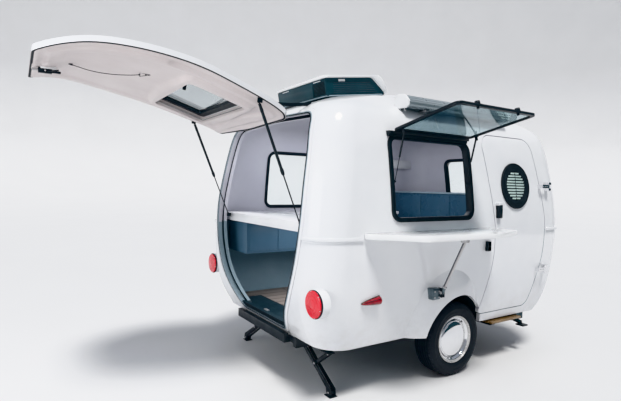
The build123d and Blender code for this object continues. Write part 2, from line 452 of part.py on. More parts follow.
# Tongue jack with its foot on the ground.
JACK_X = 2130.0
put("tongue_jack", (Pos(JACK_X, 0, 520) * (Cylinder(27.0, 420)) - Pos(JACK_X, 0, 500) * Cylinder(23.0, 420)) + box(JACK_X - 60, JACK_X + 60, -100, -26, 343.5, 352) + box(JACK_X - 60, JACK_X + 60, 26, 100, 343.5, 352))
jack = Pos(JACK_X, 0, 240) * Cylinder(23.5, 464) + Pos(JACK_X, 0, 4) * Cylinder(80.0, 8)
put("tongue_jack", NODES["tongue_jack"] + jack + rod((JACK_X, 0, 725), (JACK_X, 0, 752), 10) + rod((JACK_X, 0, 700), (JACK_X, 0, 731), 26) + rod((JACK_X, 0, 745), (JACK_X - 150, 0, 745), 7) + rod((JACK_X - 150, 0, 740), (JACK_X - 150, 0, 830), 9))

# ---------------------------------------------------------------- axle, wheels
put("axle", box(100, 172, -640, 640, 270, 343) + sum([box(-28, 160, s * 640 if s > 0 else -668, 668 if s > 0 else s * 640, 285, 345) for s in (-1, 1)], Part())
    + sum([rod((0, s * 650, AXLE_Z), (0, s * 778, AXLE_Z), 16) for s in (-1, 1)], Part()))
TYRE_R, RIM_R, WHEEL_Y = 324.0, 200.0, 862.0
tyre_sec = FilletPolyline((RIM_R, -78), (250, -104), (305, -96), (TYRE_R, -70), (TYRE_R, 70), (305, 96), (250, 104), (RIM_R, 78),
                          radius=[4, 40, 20, 22, 22, 20, 40, 4], close=True)
for tag, s in (("left", 1), ("right", -1)):
    sec = Plane.XY * make_face(tyre_sec)
    tyre = revolve(sec, Axis.Y, 360)
    put(f"tyre_{tag}", Pos(0, s * WHEEL_Y, AXLE_Z) * tyre)
    rim = Rot(90, 0, 0) * ((Cylinder(RIM_R - 0.5, 178) - Cylinder(180.0, 180)) + Pos(0, 0, -s * 42) * Cylinder(181.0, 10) + Pos(0, 0, -s * 86) * (Cylinder(208, 6) - Cylinder(180, 8)))
    rim = rim - Rot(90, 0, 0) * Cylinder(16.2, 400)
    cap = Rot(90, 0, 0) * (Pos(0, 0, -s * 64) * Cylinder(122.0, 34)) + Pos(0, s * 42, 0) * scale(Sphere(100), by=(1.08, 0.62, 1.08))
    cap = cap & Pos(0, s * 98, 0) * Box(300, 102, 300)
    cap = cap - Rot(90, 0, 0) * Pos(0, 0, 0) * Cylinder(20, 60)
    put(f"wheel_{tag}", Pos(0, s * WHEEL_Y, AXLE_Z) * (rim + cap))

# ---------------------------------------------------------------- corner stabilisers
legs_r, legs_f = Part(), Part()
for s in (-1, 1):
    def yz(y, z, x=-1185.0):
        return (x, s * y, z)
    leg = Polyline
    chan = rod(yz(330, 300), yz(735, 34), 20)
    pad = box(-1235, -1135, min(s * 685, s * 785), max(s * 685, s * 785), 0, 10)
    knee = rod(yz(735, 34), yz(735, 8), 16)
    brace = rod(yz(712, 332), yz(520, 190), 12)
    hang = box(-1215, -1155, min(s * 300, s * 360), max(s * 300, s * 360), 290, 345) + box(-1215, -1155, min(s * 526, s * 740), max(s * 526, s * 740), 330, 343)
    arm = (chan + pad + knee + brace + hang)
    legs_r = legs_r + arm
put("rear_stabilisers", legs_r)
for s in (-1, 1):
    legs_f = legs_f + (box(1080, 1130, min(s * 526, s * 800), max(s * 526, s * 800), 372, 410) + rod((1105, s * 560, 356), (1105, s * 880, 300), 20) + box(1040, 1150, min(s * 785, s * 868), max(s * 785, s * 868), 334, 412) + rod((1105, s * 560, 380), (1105, s * 560, 340), 14)
                       + box(1065, 1145, min(s * 850, s * 930), max(s * 850, s * 930), 272, 284) + rod((1105, s * 880, 302), (1105, s * 885, 280), 12) + rod((1105, s * 760, 376), (1105, s * 700, 335), 9))
put("front_stabilisers", legs_f)

# Folding entry step below the door.
put("entry_step", box(560, 600, -900, -526, 352, 378) + box(900, 940, -900, -526, 352, 378) + box(520, 980, -960, -700, 377, 402))

# ---------------------------------------------------------------- inside
floor = (skin(WALL + 1.0, z_floor=463.0) & box(-1700, 1700, -1200, 1200, 462.5, 478))
for s in (-1, 1):
    floor = floor - Pos(WELL_X, s * 950, WELL_Z) * Rot(90, 0, 0) * Cylinder(WELL_R + 26, 2 * (950 - WELL_IN + 24))
floor = (floor - rear_prism(0)) & box(-1700, 1700, -1200, 1200, 462.5, 478)
put("cabin_floor", floor - NODES["rear_jamb"] - shell)
room = skin(WALL + 44.0, z_floor=480.0)
counter = (box(-1398, -960, -930, 950, 1283, 1362) + box(-961, 700, 470, 950, 1325, 1362)) & room
counter = counter - box(-1380, -940, -1100, 1100, 1200, 1322) 
put("counter", counter)
cab = (box(-1330, 700, 500, 950, 960, 1322) - box(-1300, 670, 520, 930, 980, 1400)) & room
put("side_cabinet", cab)
put("front_cabinet", (box(1080, 1540, -420, 930, 479, 1600) - box(1100, 1600, -400, 1000, 520, 1580)) & room)

for name, shape in NODES.items():
    shape = Pos(-COUPLER_X, 0, -BALL_Z) * shape
    solids = shape.solids()
    shape = solids[0] if len(solids) == 1 else Compound(children=list(solids))
    export_step(shape, f"parts/{name}.step")
    bb = shape.bounding_box()
    print(f"{name:24s} {len(solids):3d} {shape.volume/1e6:10.3f}", [round(v) for v in (bb.min.X + COUPLER_X, bb.min.Y, bb.min.Z + BALL_Z, bb.max.X + COUPLER_X, bb.max.Y, bb.max.Z + BALL_Z)])
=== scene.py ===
import bpy, bmesh, math, random
from math import sin, cos, pi, radians, hypot, atan2
from mathutils import Vector, Matrix
from mathutils.bvhtree import BVHTree


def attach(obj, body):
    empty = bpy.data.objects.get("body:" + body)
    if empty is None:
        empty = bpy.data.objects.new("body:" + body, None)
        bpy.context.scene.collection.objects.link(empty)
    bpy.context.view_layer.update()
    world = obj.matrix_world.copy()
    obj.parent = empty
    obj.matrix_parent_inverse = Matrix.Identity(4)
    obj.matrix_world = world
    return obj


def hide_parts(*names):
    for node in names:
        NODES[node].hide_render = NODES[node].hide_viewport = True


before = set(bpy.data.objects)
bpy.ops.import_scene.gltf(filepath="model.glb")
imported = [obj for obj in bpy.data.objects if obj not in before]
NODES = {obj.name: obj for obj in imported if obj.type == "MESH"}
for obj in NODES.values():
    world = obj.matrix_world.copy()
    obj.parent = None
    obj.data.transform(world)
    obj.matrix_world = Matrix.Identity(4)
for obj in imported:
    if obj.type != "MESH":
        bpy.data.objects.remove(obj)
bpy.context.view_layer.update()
random.seed(7)


def W(x, y, z):
    """Design millimetres (ground point under the axle) to the row frame in metres."""
    return Vector((x / 1000 - 2.45, y / 1000, z / 1000 - 0.437))


# ------------------------------------------------------------------ camera
def make_camera():
    pos = Vector((-3.290585, -3.517474, 1.637409)) - Vector((2.45, 0, 0.437))
    yaw, pitch, roll, f_px, cx, cy = 1.024384, -0.044699, 0.018516, 450.282, 288.952, 206.622
    fwd = Vector((cos(pitch) * cos(yaw), cos(pitch) * sin(yaw), sin(pitch)))
    right = fwd.cross(Vector((0, 0, 1))).normalized()
    up = right.cross(fwd)
    r2 = right * cos(roll) + up * sin(roll)
    u2 = -right * sin(roll) + up * cos(roll)
    cam = bpy.data.cameras.new("camera")
    ob = bpy.data.objects.new("camera", cam)
    bpy.context.scene.collection.objects.link(ob)
    m = Matrix(((r2.x, u2.x, -fwd.x, 0), (r2.y, u2.y, -fwd.y, 0), (r2.z, u2.z, -fwd.z, 0), (0, 0, 0, 1)))
    m.translation = pos
    ob.matrix_world = m
    cam.sensor_width = 36
    cam.lens = 36 * f_px / 621
    cam.shift_x = (310.5 - cx) / 621
    cam.shift_y = (cy - 200.5) / 621
    cam.clip_end = 300
    bpy.context.scene.camera = ob


make_camera()


# ------------------------------------------------------------------ materials
class Nodes:
    def __init__(self, name):
        self.m = bpy.data.materials.new(name)
        self.m.use_nodes = True
        self.t = self.m.node_tree
        self.p = self.t.nodes["Principled BSDF"]
        self.co = self.t.nodes.new("ShaderNodeTexCoord").outputs["Object"]

    def new(self, kind, **kw):
        n = self.t.nodes.new(kind)
        for k, v in kw.items():
            if k in n.inputs:
                n.inputs[k].default_value = v
            else:
                setattr(n, k, v)
        return n

    def link(self, a, b):
        self.t.links.new(a, b)

    def scaled(self, s):
        n = self.new("ShaderNodeMapping")
        self.link(self.co, n.inputs["Vector"])
        n.inputs["Scale"].default_value = s
        return n.outputs["Vector"]

    def noise(self, scale, detail=4.0, rough=0.55, vec=None, distort=0.0):
        n = self.new("ShaderNodeTexNoise", Scale=scale, Detail=detail, Roughness=rough, Distortion=distort)
        self.link(vec or self.co, n.inputs["Vector"])
        return n.outputs["Fac"]

    def ramp(self, fac, stops):
        n = self.new("ShaderNodeValToRGB")
        el = n.color_ramp.elements
        while len(el) < len(stops):
            el.new(0.5)
        for e, (p, c) in zip(el, stops):
            e.position = p
            e.color = (*c, 1) if len(c) == 3 else c
        self.link(fac, n.inputs["Fac"])
        return n.outputs["Color"]

    def mixc(self, fac, a, b):
        n = self.new("ShaderNodeMix", data_type="RGBA")
        for sock, v in ((n.inputs["Factor"], fac), (n.inputs[6], a), (n.inputs[7], b)):
            if isinstance(v, (int, float)):
                sock.default_value = v
            elif isinstance(v, tuple):
                sock.default_value = (*v, 1)
            else:
                self.link(v, sock)
        return n.outputs[2]

    def math(self, op, a, b=0.0):
        n = self.new("ShaderNodeMath", operation=op)
        for sock, v in ((n.inputs[0], a), (n.inputs[1], b)):
            if isinstance(v, (int, float)):
                sock.default_value = v
            else:
                self.link(v, sock)
        return n.outputs[0]

    def span(self, v, lo, hi):
        n = self.new("ShaderNodeMapRange")
        self.link(v, n.inputs["Value"])
        n.inputs["To Min"].default_value = lo
        n.inputs["To Max"].default_value = hi
        return n.outputs[0]

    def bump(self, h, strength, dist, prev=None):
        n = self.new("ShaderNodeBump", Strength=strength, Distance=dist)
        self.link(h, n.inputs["Height"])
        if prev is not None:
            self.link(prev, n.inputs["Normal"])
        return n.outputs["Normal"]

    def done(self, color=None, rough=None, normal=None, **kw):
        for key, v in (("Base Color", color), ("Roughness", rough), ("Normal", normal)):
            if v is None:
                continue
            s = self.p.inputs[key]
            if isinstance(v, (int, float)):
                s.default_value = v
            elif isinstance(v, tuple):
                s.default_value = (*v, 1)
            else:
                self.link(v, s)
        for k, v in kw.items():
            self.p.inputs[k.replace("_", " ")].default_value = v
        return self.m


def varied(name, lo, hi, rough=(0.3, 0.45), scale=6.0, fine=180.0, bump=0.05, dist=0.001, **kw):
    """A colour that wanders between two shades, roughness that follows a finer noise, and a grain."""
    n = Nodes(name)
    c = n.ramp(n.noise(scale, 5), [(0.32, lo), (0.7, hi)])
    f = n.noise(fine, 3)
    return n.done(c, n.span(n.noise(scale * 3.1, 4), *rough), n.bump(f, bump, dist), **kw)


def gelcoat(name, lo, hi, dust=0.22, rough=(0.10, 0.17), coat=0.35):
    n = Nodes(name)
    c = n.ramp(n.noise(1.4, 5), [(0.3, lo), (0.72, hi)])
    sep = n.new("ShaderNodeSeparateXYZ")
    n.link(n.co, sep.inputs[0])
    low = n.new("ShaderNodeMapRange")
    n.link(sep.outputs["Z"], low.inputs["Value"])
    for k, v in (("From Min", 0.34), ("From Max", -0.03), ("To Min", 0.0), ("To Max", 1.0)):
        low.inputs[k].default_value = v
    speck = n.ramp(n.noise(9.0, 8, 0.7), [(0.42, (0, 0, 0)), (0.75, (1, 1, 1))])
    grime = n.math("MULTIPLY", n.math("MULTIPLY", low.outputs[0], speck), dust)
    c = n.mixc(grime, c, (0.42, 0.38, 0.33))
    b = n.bump(n.noise(7.5, 2), 0.05, 0.004)
    b = n.bump(n.noise(420.0, 2), 0.03, 0.0004, b)
    return n.done(c, n.span(n.noise(5.0, 5), *rough), b, Coat_Weight=coat, Coat_Roughness=0.04, IOR=1.5)


MAT = {}
MAT["white"] = gelcoat("gelcoat_white", (0.80, 0.815, 0.84), (0.87, 0.88, 0.895))
MAT["shelf"] = gelcoat("shelf_white", (0.86, 0.87, 0.88), (0.90, 0.905, 0.91), dust=0.0)
MAT["lining"] = varied("moulded_lining", (0.62, 0.565, 0.56), (0.70, 0.645, 0.64), rough=(0.32, 0.5), scale=2.2, fine=260, bump=0.06, dist=0.0006)
MAT["wall"] = varied("cabin_lining", (0.60, 0.60, 0.66), (0.67, 0.67, 0.73), rough=(0.35, 0.5), scale=1.7, fine=300, bump=0.07, dist=0.0006)
MAT["trim"] = varied("trim_black", (0.006, 0.013, 0.019), (0.014, 0.024, 0.031), rough=(0.28, 0.45), scale=9, fine=420, bump=0.08, dist=0.0004)
MAT["rubber"] = varied("seal_rubber", (0.008, 0.015, 0.021), (0.018, 0.027, 0.034), rough=(0.5, 0.68), scale=14, fine=520, bump=0.15, dist=0.0005)
MAT["chassis"] = varied("chassis_black", (0.008, 0.014, 0.019), (0.022, 0.030, 0.036), rough=(0.3, 0.55), scale=7, fine=240, bump=0.12, dist=0.0008)
MAT["awning"] = varied("awning_grey", (0.40, 0.46, 0.49), (0.50, 0.56, 0.585), rough=(0.22, 0.36), scale=3, fine=350, bump=0.04, dist=0.0004, Metallic=0.55)
MAT["ac"] = varied("ac_dark", (0.010, 0.045, 0.062), (0.02, 0.075, 0.098), rough=(0.3, 0.45), scale=5, fine=480, bump=0.15, dist=0.0005)
MAT["ac_deep"] = varied("ac_vent_dark", (0.002, 0.006, 0.009), (0.006, 0.014, 0.02), rough=(0.5, 0.7), scale=8)
MAT["navy"] = varied("navy_laminate", (0.085, 0.150, 0.215), (0.105, 0.178, 0.245), rough=(0.25, 0.38), scale=3, fine=300, bump=0.04, dist=0.0004)
MAT["navy2"] = varied("navy_front", (0.040, 0.092, 0.145), (0.052, 0.112, 0.168), rough=(0.22, 0.34), scale=3, fine=300, bump=0.04, dist=0.0004)
MAT["slate"] = varied("slate_laminate", (0.25, 0.34, 0.39), (0.30, 0.39, 0.44), rough=(0.28, 0.4), scale=3, fine=300, bump=0.04, dist=0.0004)
MAT["counter"] = varied("counter_white", (0.78, 0.79, 0.81), (0.85, 0.86, 0.875), rough=(0.15, 0.25), scale=4, fine=300, bump=0.03, dist=0.0003, Coat_Weight=0.2)
MAT["zinc"] = varied("plated_steel", (0.50, 0.50, 0.51), (0.68, 0.67, 0.68), rough=(0.25, 0.42), scale=22, fine=300, bump=0.06, dist=0.0004, Metallic=0.85)
MAT["rim"] = varied("rim_silver", (0.62, 0.61, 0.60), (0.74, 0.73, 0.72), rough=(0.2, 0.32), scale=10, fine=380, bump=0.05, dist=0.0003, Metallic=0.35, Coat_Weight=0.3)
MAT["panel"] = varied("blank_panel", (0.72, 0.73, 0.75), (0.80, 0.81, 0.82), rough=(0.3, 0.4), scale=6)
MAT["vent"] = varied("vent_grey", (0.09, 0.10, 0.12), (0.14, 0.15, 0.17), rough=(0.4, 0.55), scale=9)
MAT["amber"] = varied("bolt_zinc", (0.42, 0.42, 0.44), (0.6, 0.6, 0.62), rough=(0.25, 0.4), scale=60, fine=700, bump=0.05, dist=0.0002, Metallic=1.0)


def chrome():
    n = Nodes("chrome")
    c = n.ramp(n.noise(4, 3), [(0.3, (0.78, 0.79, 0.81)), (0.7, (0.88, 0.88, 0.89))])
    return n.done(c, n.span(n.noise(30, 6, 0.7), 0.03, 0.10), n.bump(n.noise(55, 3), 0.015, 0.0005), Metallic=1.0)


def tyre():
    n = Nodes("tyre")
    c = n.ramp(n.noise(11, 7, 0.7), [(0.3, (0.010, 0.015, 0.021)), (0.62, (0.020, 0.026, 0.033)), (0.85, (0.045, 0.045, 0.045))])
    b = n.bump(n.noise(130, 5, 0.7), 0.25, 0.0012)
    return n.done(c, n.span(n.noise(20, 4), 0.5, 0.72), n.bump(n.noise(600, 2), 0.2, 0.0004, b))


def lens():
    n = Nodes("lens_red")
    w = n.new("ShaderNodeTexVoronoi", Scale=190.0)
    n.link(n.co, w.inputs["Vector"])
    c = n.ramp(n.noise(18, 3), [(0.3, (0.62, 0.004, 0.018)), (0.7, (0.80, 0.012, 0.035))])
    m = n.done(c, n.span(n.noise(40, 3), 0.08, 0.16), n.bump(w.outputs["Distance"], 0.12, 0.002), Coat_Weight=0.8, Coat_Roughness=0.03, Transmission_Weight=0.15, IOR=1.49)
    # The faint red emission is a painted glow; the lamp is not lit.
    m.node_tree.nodes["Principled BSDF"].inputs["Emission Color"].default_value = (0.8, 0.01, 0.03, 1)
    m.node_tree.nodes["Principled BSDF"].inputs["Emission Strength"].default_value = 0.12
    return m


def glass(name, lo, hi, rough=(0.015, 0.03), **kw):
    n = Nodes(name)
    c = n.ramp(n.noise(2.0, 3), [(0.3, lo), (0.7, hi)])
    return n.done(c, n.span(n.noise(9, 5), *rough), n.bump(n.noise(3.0, 2), 0.02, 0.003), Transmission_Weight=1.0, IOR=1.49, **kw)


def planks():
    n = Nodes("floor_wood")
    b = n.new("ShaderNodeTexBrick", Scale=1.0)
    b.inputs["Mortar Size"].default_value = 0.012
    b.inputs["Brick Width"].default_value = 0.9
    b.inputs["Row Height"].default_value = 0.12
    b.inputs["Color1"].default_value = (0.33, 0.27, 0.235, 1)
    b.inputs["Color2"].default_value = (0.25, 0.20, 0.17, 1)
    b.inputs["Mortar"].default_value = (0.06, 0.04, 0.03, 1)
    n.link(n.co, b.inputs["Vector"])
    g = n.noise(3.0, 9, 0.65, n.scaled((1.5, 26.0, 1.0)), 0.6)
    c = n.mixc(n.span(g, 0.0, 0.75), b.outputs["Color"], (0.45, 0.38, 0.33))
    return n.done(c, n.span(g, 0.35, 0.55), n.bump(g, 0.15, 0.001))


def slats():
    n = Nodes("step_wood")
    g = n.noise(3.5, 9, 0.65, n.scaled((2.0, 30.0, 20.0)), 0.8)
    c = n.ramp(g, [(0.25, (0.10, 0.065, 0.035)), (0.55, (0.22, 0.145, 0.075)), (0.8, (0.33, 0.235, 0.13))])
    return n.done(c, n.span(g, 0.22, 0.4), n.bump(g, 0.12, 0.001), Coat_Weight=0.4)


def braid():
    n = Nodes("cord_black")
    w = n.new("ShaderNodeTexWave", Scale=140.0, Distortion=0.6)
    w.bands_direction = "DIAGONAL"
    n.link(n.co, w.inputs["Vector"])
    c = n.ramp(w.outputs["Fac"], [(0.2, (0.012, 0.012, 0.014)), (0.8, (0.05, 0.05, 0.055))])
    return n.done(c, 0.8, n.bump(w.outputs["Fac"], 0.5, 0.0008))


MAT["chrome"], MAT["tyre"], MAT["lens"] = chrome(), tyre(), lens()
MAT["marker"] = varied("marker_red", (0.16, 0.004, 0.012), (0.42, 0.010, 0.026), rough=(0.10, 0.2), scale=45, fine=260, bump=0.3, dist=0.001, Coat_Weight=0.8)
MAT["bezel"] = varied("marker_bezel", (0.05, 0.035, 0.03), (0.20, 0.15, 0.12), rough=(0.2, 0.35), scale=30, fine=300, bump=0.1, dist=0.0003, Metallic=0.6)
MAT["clear"] = glass("glass_clear", (0.86, 0.91, 0.92), (0.92, 0.95, 0.96))
MAT["tint"] = glass("glass_tint", (0.46, 0.60, 0.64), (0.54, 0.67, 0.71))
MAT["smoke"] = glass("glass_smoke", (0.50, 0.56, 0.58), (0.58, 0.63, 0.65))
MAT["floor"], MAT["step"], MAT["cord"] = planks(), slats(), braid()
# Blue-grey for the rim's side that faces the opening: painted shade of the white rim in shadow.
MAT["rim_painted_shade"] = varied("rim_side_painted_shade", (0.28, 0.36, 0.41), (0.36, 0.44, 0.49), rough=(0.2, 0.3), scale=5, Coat_Weight=0.3)
MAT["mat"] = varied("sill_mat_dark", (0.014, 0.030, 0.040), (0.028, 0.050, 0.062), rough=(0.4, 0.6), scale=12, fine=600, bump=0.2, dist=0.0006)
MAT["gunmetal"] = varied("bracket_grey", (0.10, 0.135, 0.155), (0.20, 0.245, 0.27), rough=(0.25, 0.42), scale=16, fine=320, bump=0.06, dist=0.0004, Metallic=0.5)
MAT["silver"] = varied("bar_silver", (0.56, 0.545, 0.55), (0.68, 0.66, 0.665), rough=(0.25, 0.38), scale=12, fine=360, bump=0.05, dist=0.0003, Metallic=0.35)
MAT["mint"] = varied("slat_mint", (0.50, 0.66, 0.62), (0.62, 0.76, 0.72), rough=(0.3, 0.45), scale=12)


# ------------------------------------------------------------------ pull cord (first, after the camera)
CORD_FROM, CORD_DIR = (-2958.0, -20.0), (0.9263, -0.3769)
CORD_ROUTE = ((14.0, 2452.0), (60.0, 2438.0), (116.0, 2422.5), (174.0, 2411.5), (236.0, 2404.5), (300.0, 2401.5),
              (360.0, 2401.8), (414.0, 2404.5), (453.0, 2409.0))


def cord_pt(along, height, aside=0.0):
    return W(CORD_FROM[0] + CORD_DIR[0] * along - CORD_DIR[1] * aside, CORD_FROM[1] + CORD_DIR[1] * along + CORD_DIR[0] * aside, height)


def make_cord():
    cu = bpy.data.curves.new("hatch_pull_cord", "CURVE")
    cu.dimensions = "3D"
    cu.bevel_depth = 0.0025
    cu.bevel_resolution = 4
    cu.resolution_u = 10
    cu.use_fill_caps = True
    sp = cu.splines.new("NURBS")
    sp.points.add(len(CORD_ROUTE) - 1)
    for p, q in zip(sp.points, CORD_ROUTE):
        p.co = (*cord_pt(*q), 1)
    sp.order_u = 3
    sp.use_endpoint_u = True
    ob = bpy.data.objects.new("hatch_pull_cord", cu)
    bpy.context.scene.collection.objects.link(ob)
    cu.materials.append(MAT["cord"])
    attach(ob, "hatch")
    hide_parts("pull_cord")


make_cord()


# ------------------------------------------------------------------ mesh builder
class Build:
    """Collects solids in design millimetres, each with a material number."""

    def __init__(self):
        self.v, self.f, self.k, self.sharp = [], [], [], []

    def add(self, verts, faces, k=0):
        o = len(self.v)
        self.v += [Vector(v) for v in verts]
        self.f += [[i + o for i in f] for f in faces]
        self.k += [k] * len(faces)

    def bm(self, bm, k=0, m=None):
        if m is not None:
            bm.transform(m)
        bm.verts.index_update()
        self.add([v.co.copy() for v in bm.verts], [[v.index for v in f.verts] for f in bm.faces], k)
        bm.free()

    def box(self, x0, x1, y0, y1, z0, z1, bevel=2.0, k=0, seg=2, m=None):
        b = bmesh.new()
        bmesh.ops.create_cube(b, size=1.0, matrix=Matrix.Translation(((x0 + x1) / 2, (y0 + y1) / 2, (z0 + z1) / 2)) @ Matrix.Diagonal((abs(x1 - x0), abs(y1 - y0), abs(z1 - z0), 1)))
        bevel = min(bevel, 0.45 * min(abs(x1 - x0), abs(y1 - y0), abs(z1 - z0)))
        if bevel > 0:
            bmesh.ops.bevel(b, geom=b.edges[:], offset=bevel, segments=seg, profile=0.5, affect="EDGES")
        self.bm(b, k, m)

    def beam(self, a, b, w, h, bevel=2.0, k=0, up=(0, 0, 1)):
        a, b = Vector(a), Vector(b)
        m = axes(a, b - a, up)
        self.box(-w / 2, w / 2, -h / 2, h / 2, 0, (b - a).length, bevel, k, 2, m)

    def lathe(self, profile, origin, axis, n=48, k=0, up=(0, 0, 1), closed=False):
        """profile: (radius, along) pairs. A radius of 0 closes the end at a point."""
        m = axes(Vector(origin), Vector(axis), up)
        rows, verts, faces = [], [], []
        for r, t in profile:
            if r < 1e-6:
                rows.append([len(verts)])
                verts.append(m @ Vector((0, 0, t)))
            else:
                rows.append(list(range(len(verts), len(verts) + n)))
                verts += [m @ Vector((r * cos(2 * pi * i / n), r * sin(2 * pi * i / n), t)) for i in range(n)]
        pairs = list(zip(rows, rows[1:])) + ([(rows[-1], rows[0])] if closed else [])
        for a, b in pairs:
            for i in range(n):
                j = (i + 1) % n
                if len(a) == 1 and len(b) == 1:
                    continue
                if len(a) == 1:
                    faces.append([a[0], b[j], b[i]])
                elif len(b) == 1:
                    faces.append([a[i], a[j], b[0]])
                else:
                    faces.append([a[i], a[j], b[j], b[i]])
        self.add(verts, faces, k)

    def cyl(self, a, b, r, n=20, c=1.0, k=0):
        a, b = Vector(a), Vector(b)
        d = (b - a).length
        c = min(c, r * 0.4, d * 0.4)
        self.lathe([(0, 0), (r - c, 0), (r, c), (r, d - c), (r - c, d), (0, d)], a, b - a, n, k, up=(0.3, 0.2, 0.9) if abs((b - a).normalized().z) < 0.9 else (1, 0, 0))

    def tube(self, pts, r, n=10, closed=False, k=0, flat=1.0, ends=True):
        pts = [Vector(p) for p in pts]
        count = len(pts)
        tang = []
        for i in range(count):
            a = pts[(i - 1) % count] if closed or i else pts[0]
            b = pts[(i + 1) % count] if closed or i < count - 1 else pts[-1]
            tang.append((b - a).normalized())
        ref = Vector((0, 0, 1)) if abs(tang[0].z) < 0.9 else Vector((1, 0, 0))
        u = tang[0].cross(ref).normalized()
        verts, faces = [], []
        for i, p in enumerate(pts):
            u = (u - tang[i] * u.dot(tang[i])).normalized()
            w = tang[i].cross(u)
            verts += [p + u * (r * cos(2 * pi * j / n)) + w * (r * flat * sin(2 * pi * j / n)) for j in range(n)]
        for i in range(count if closed else count - 1):
            a, b = i * n, ((i + 1) % count) * n
            faces += [[a + j, a + (j + 1) % n, b + (j + 1) % n, b + j] for j in range(n)]
        if not closed and ends:
            faces.append(list(range(n))[::-1])
            faces.append([(count - 1) * n + j for j in range(n)])
        self.add(verts, faces, k)

    def prism(self, pts, at, bevel=0.0, k=0, seg=2):
        """A closed outline of 2-D points, from at(p, 0) to at(p, 1)."""
        b = bmesh.new()
        lo = [b.verts.new(at(p, 0)) for p in pts]
        hi = [b.verts.new(at(p, 1)) for p in pts]
        b.faces.new(lo[::-1])
        b.faces.new(hi)
        n = len(pts)
        for i in range(n):
            b.faces.new((lo[i], lo[(i + 1) % n], hi[(i + 1) % n], hi[i]))
        bmesh.ops.recalc_face_normals(b, faces=b.faces[:])
        if bevel > 0:
            rim = [e for e in b.edges if (e.verts[0] in lo) == (e.verts[1] in lo)]
            bmesh.ops.bevel(b, geom=rim, offset=bevel, segments=seg, profile=0.5, affect="EDGES")
        self.bm(b, k)

    def make(self, name, body, mats, replaces=(), smooth=35.0):
        me = bpy.data.meshes.new(name)
        me.from_pydata([W(*v) for v in self.v], [], self.f)
        me.validate()
        b = bmesh.new()
        b.from_mesh(me)
        bmesh.ops.recalc_face_normals(b, faces=b.faces[:])
        b.to_mesh(me)
        b.free()
        if len(me.polygons) == len(self.k):
            me.polygons.foreach_set("material_index", self.k)
        for m in mats:
            me.materials.append(MAT[m])
        ob = bpy.data.objects.new(name, me)
        bpy.context.scene.collection.objects.link(ob)
        shade(ob, smooth)
        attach(ob, body)
        if replaces:
            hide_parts(*replaces)
        return ob


def axes(origin, axis, up=(0, 0, 1)):
    z = Vector(axis).normalized()
    x = Vector(up).cross(z)
    if x.length < 1e-3:
        x = Vector((1, 0, 0)).cross(z)
        if x.length < 1e-3:
            x = Vector((0, 1, 0)).cross(z)
    x.normalize()
    y = z.cross(x)
    m = Matrix(((x.x, y.x, z.x, 0), (x.y, y.y, z.y, 0), (x.z, y.z, z.z, 0), (0, 0, 0, 1)))
    m.translation = Vector(origin)
    return m


def shade(ob, degrees=35.0):
    """Smooth faces, with edges sharper than the angle kept sharp."""
    me = ob.data
    b = bmesh.new()
    b.from_mesh(me)
    lim = radians(degrees)
    for f in b.faces:
        f.smooth = True
    for e in b.edges:
        e.smooth = not (len(e.link_faces) == 2 and e.calc_face_angle(0.0) > lim)
    b.to_mesh(me)
    b.free()


def rounded(x0, x1, y0, y1, r, n=6):
    pts = []
    for cx, cy, a0 in ((x1 - r, y1 - r, 0), (x0 + r, y1 - r, 90), (x0 + r, y0 + r, 180), (x1 - r, y0 + r, 270)):
        pts += [(cx + r * cos(radians(a0 + 90 * i / n)), cy + r * sin(radians(a0 + 90 * i / n))) for i in range(n + 1)]
    return pts


# ------------------------------------------------------------------ CAD nodes: materials and softened edges
def inner_split(name, outer_mat, inner_mat, centre, flip=False):
    """Faces that look towards the cabin get the lining."""
    ob = NODES[name]
    ob.data.materials.clear()
    ob.data.materials.append(MAT[outer_mat])
    ob.data.materials.append(MAT[inner_mat])
    c = Vector(centre)
    for p in ob.data.polygons:
        p.material_index = 1 if p.normal.dot(p.center - c) < -0.25 * (p.center - c).length * 0.6 else 0


def paint(name, mat):
    ob = NODES[name]
    ob.data.materials.clear()
    ob.data.materials.append(MAT[mat])
    for p in ob.data.polygons:
        p.material_index = 0


def soften(name, width, seg=2, angle=38):
    ob = NODES[name]
    w = ob.modifiers.new("weld", "WELD")
    w.merge_threshold = 1e-5
    b = ob.modifiers.new("edges", "BEVEL")
    b.width = width
    b.segments = seg
    b.limit_method = "ANGLE"
    b.angle_limit = radians(angle)
    b.use_clamp_overlap = True
    b.harden_normals = True
    for p in ob.data.polygons:
        p.use_smooth = True


mid = W(0, 0, 1300)
inner_split("upper_shell", "white", "wall", mid)
inner_split("lower_shell", "white", "slate", mid)
paint("floor_pan", "slate")
paint("belt_moulding", "white")
inner_split("entry_door", "white", "wall", mid)
paint("serving_shelf", "shelf")
def by_face(name, mats, pick):
    ob = NODES[name]
    ob.data.materials.clear()
    for m in mats:
        ob.data.materials.append(MAT[m])
    for p in ob.data.polygons:
        p.material_index = pick(p.center, p.normal)


OPEN_C = W(-1480, 0, 1400)
by_face("rear_jamb", ("wall", "slate", "mat", "rubber"), lambda c, n: 3 if n.x < -0.5 else 2 if c.z < 0.087 + 0.004 else (1 if c.z < 0.829 else 0))
# Rim faces that look into the opening get the blue-grey painted shade; the rest stays white.
by_face("rear_rim", ("white", "rim_painted_shade"), lambda c, n: 1 if n.yz.dot((OPEN_C - c).yz.normalized()) > 0.45 else 0)
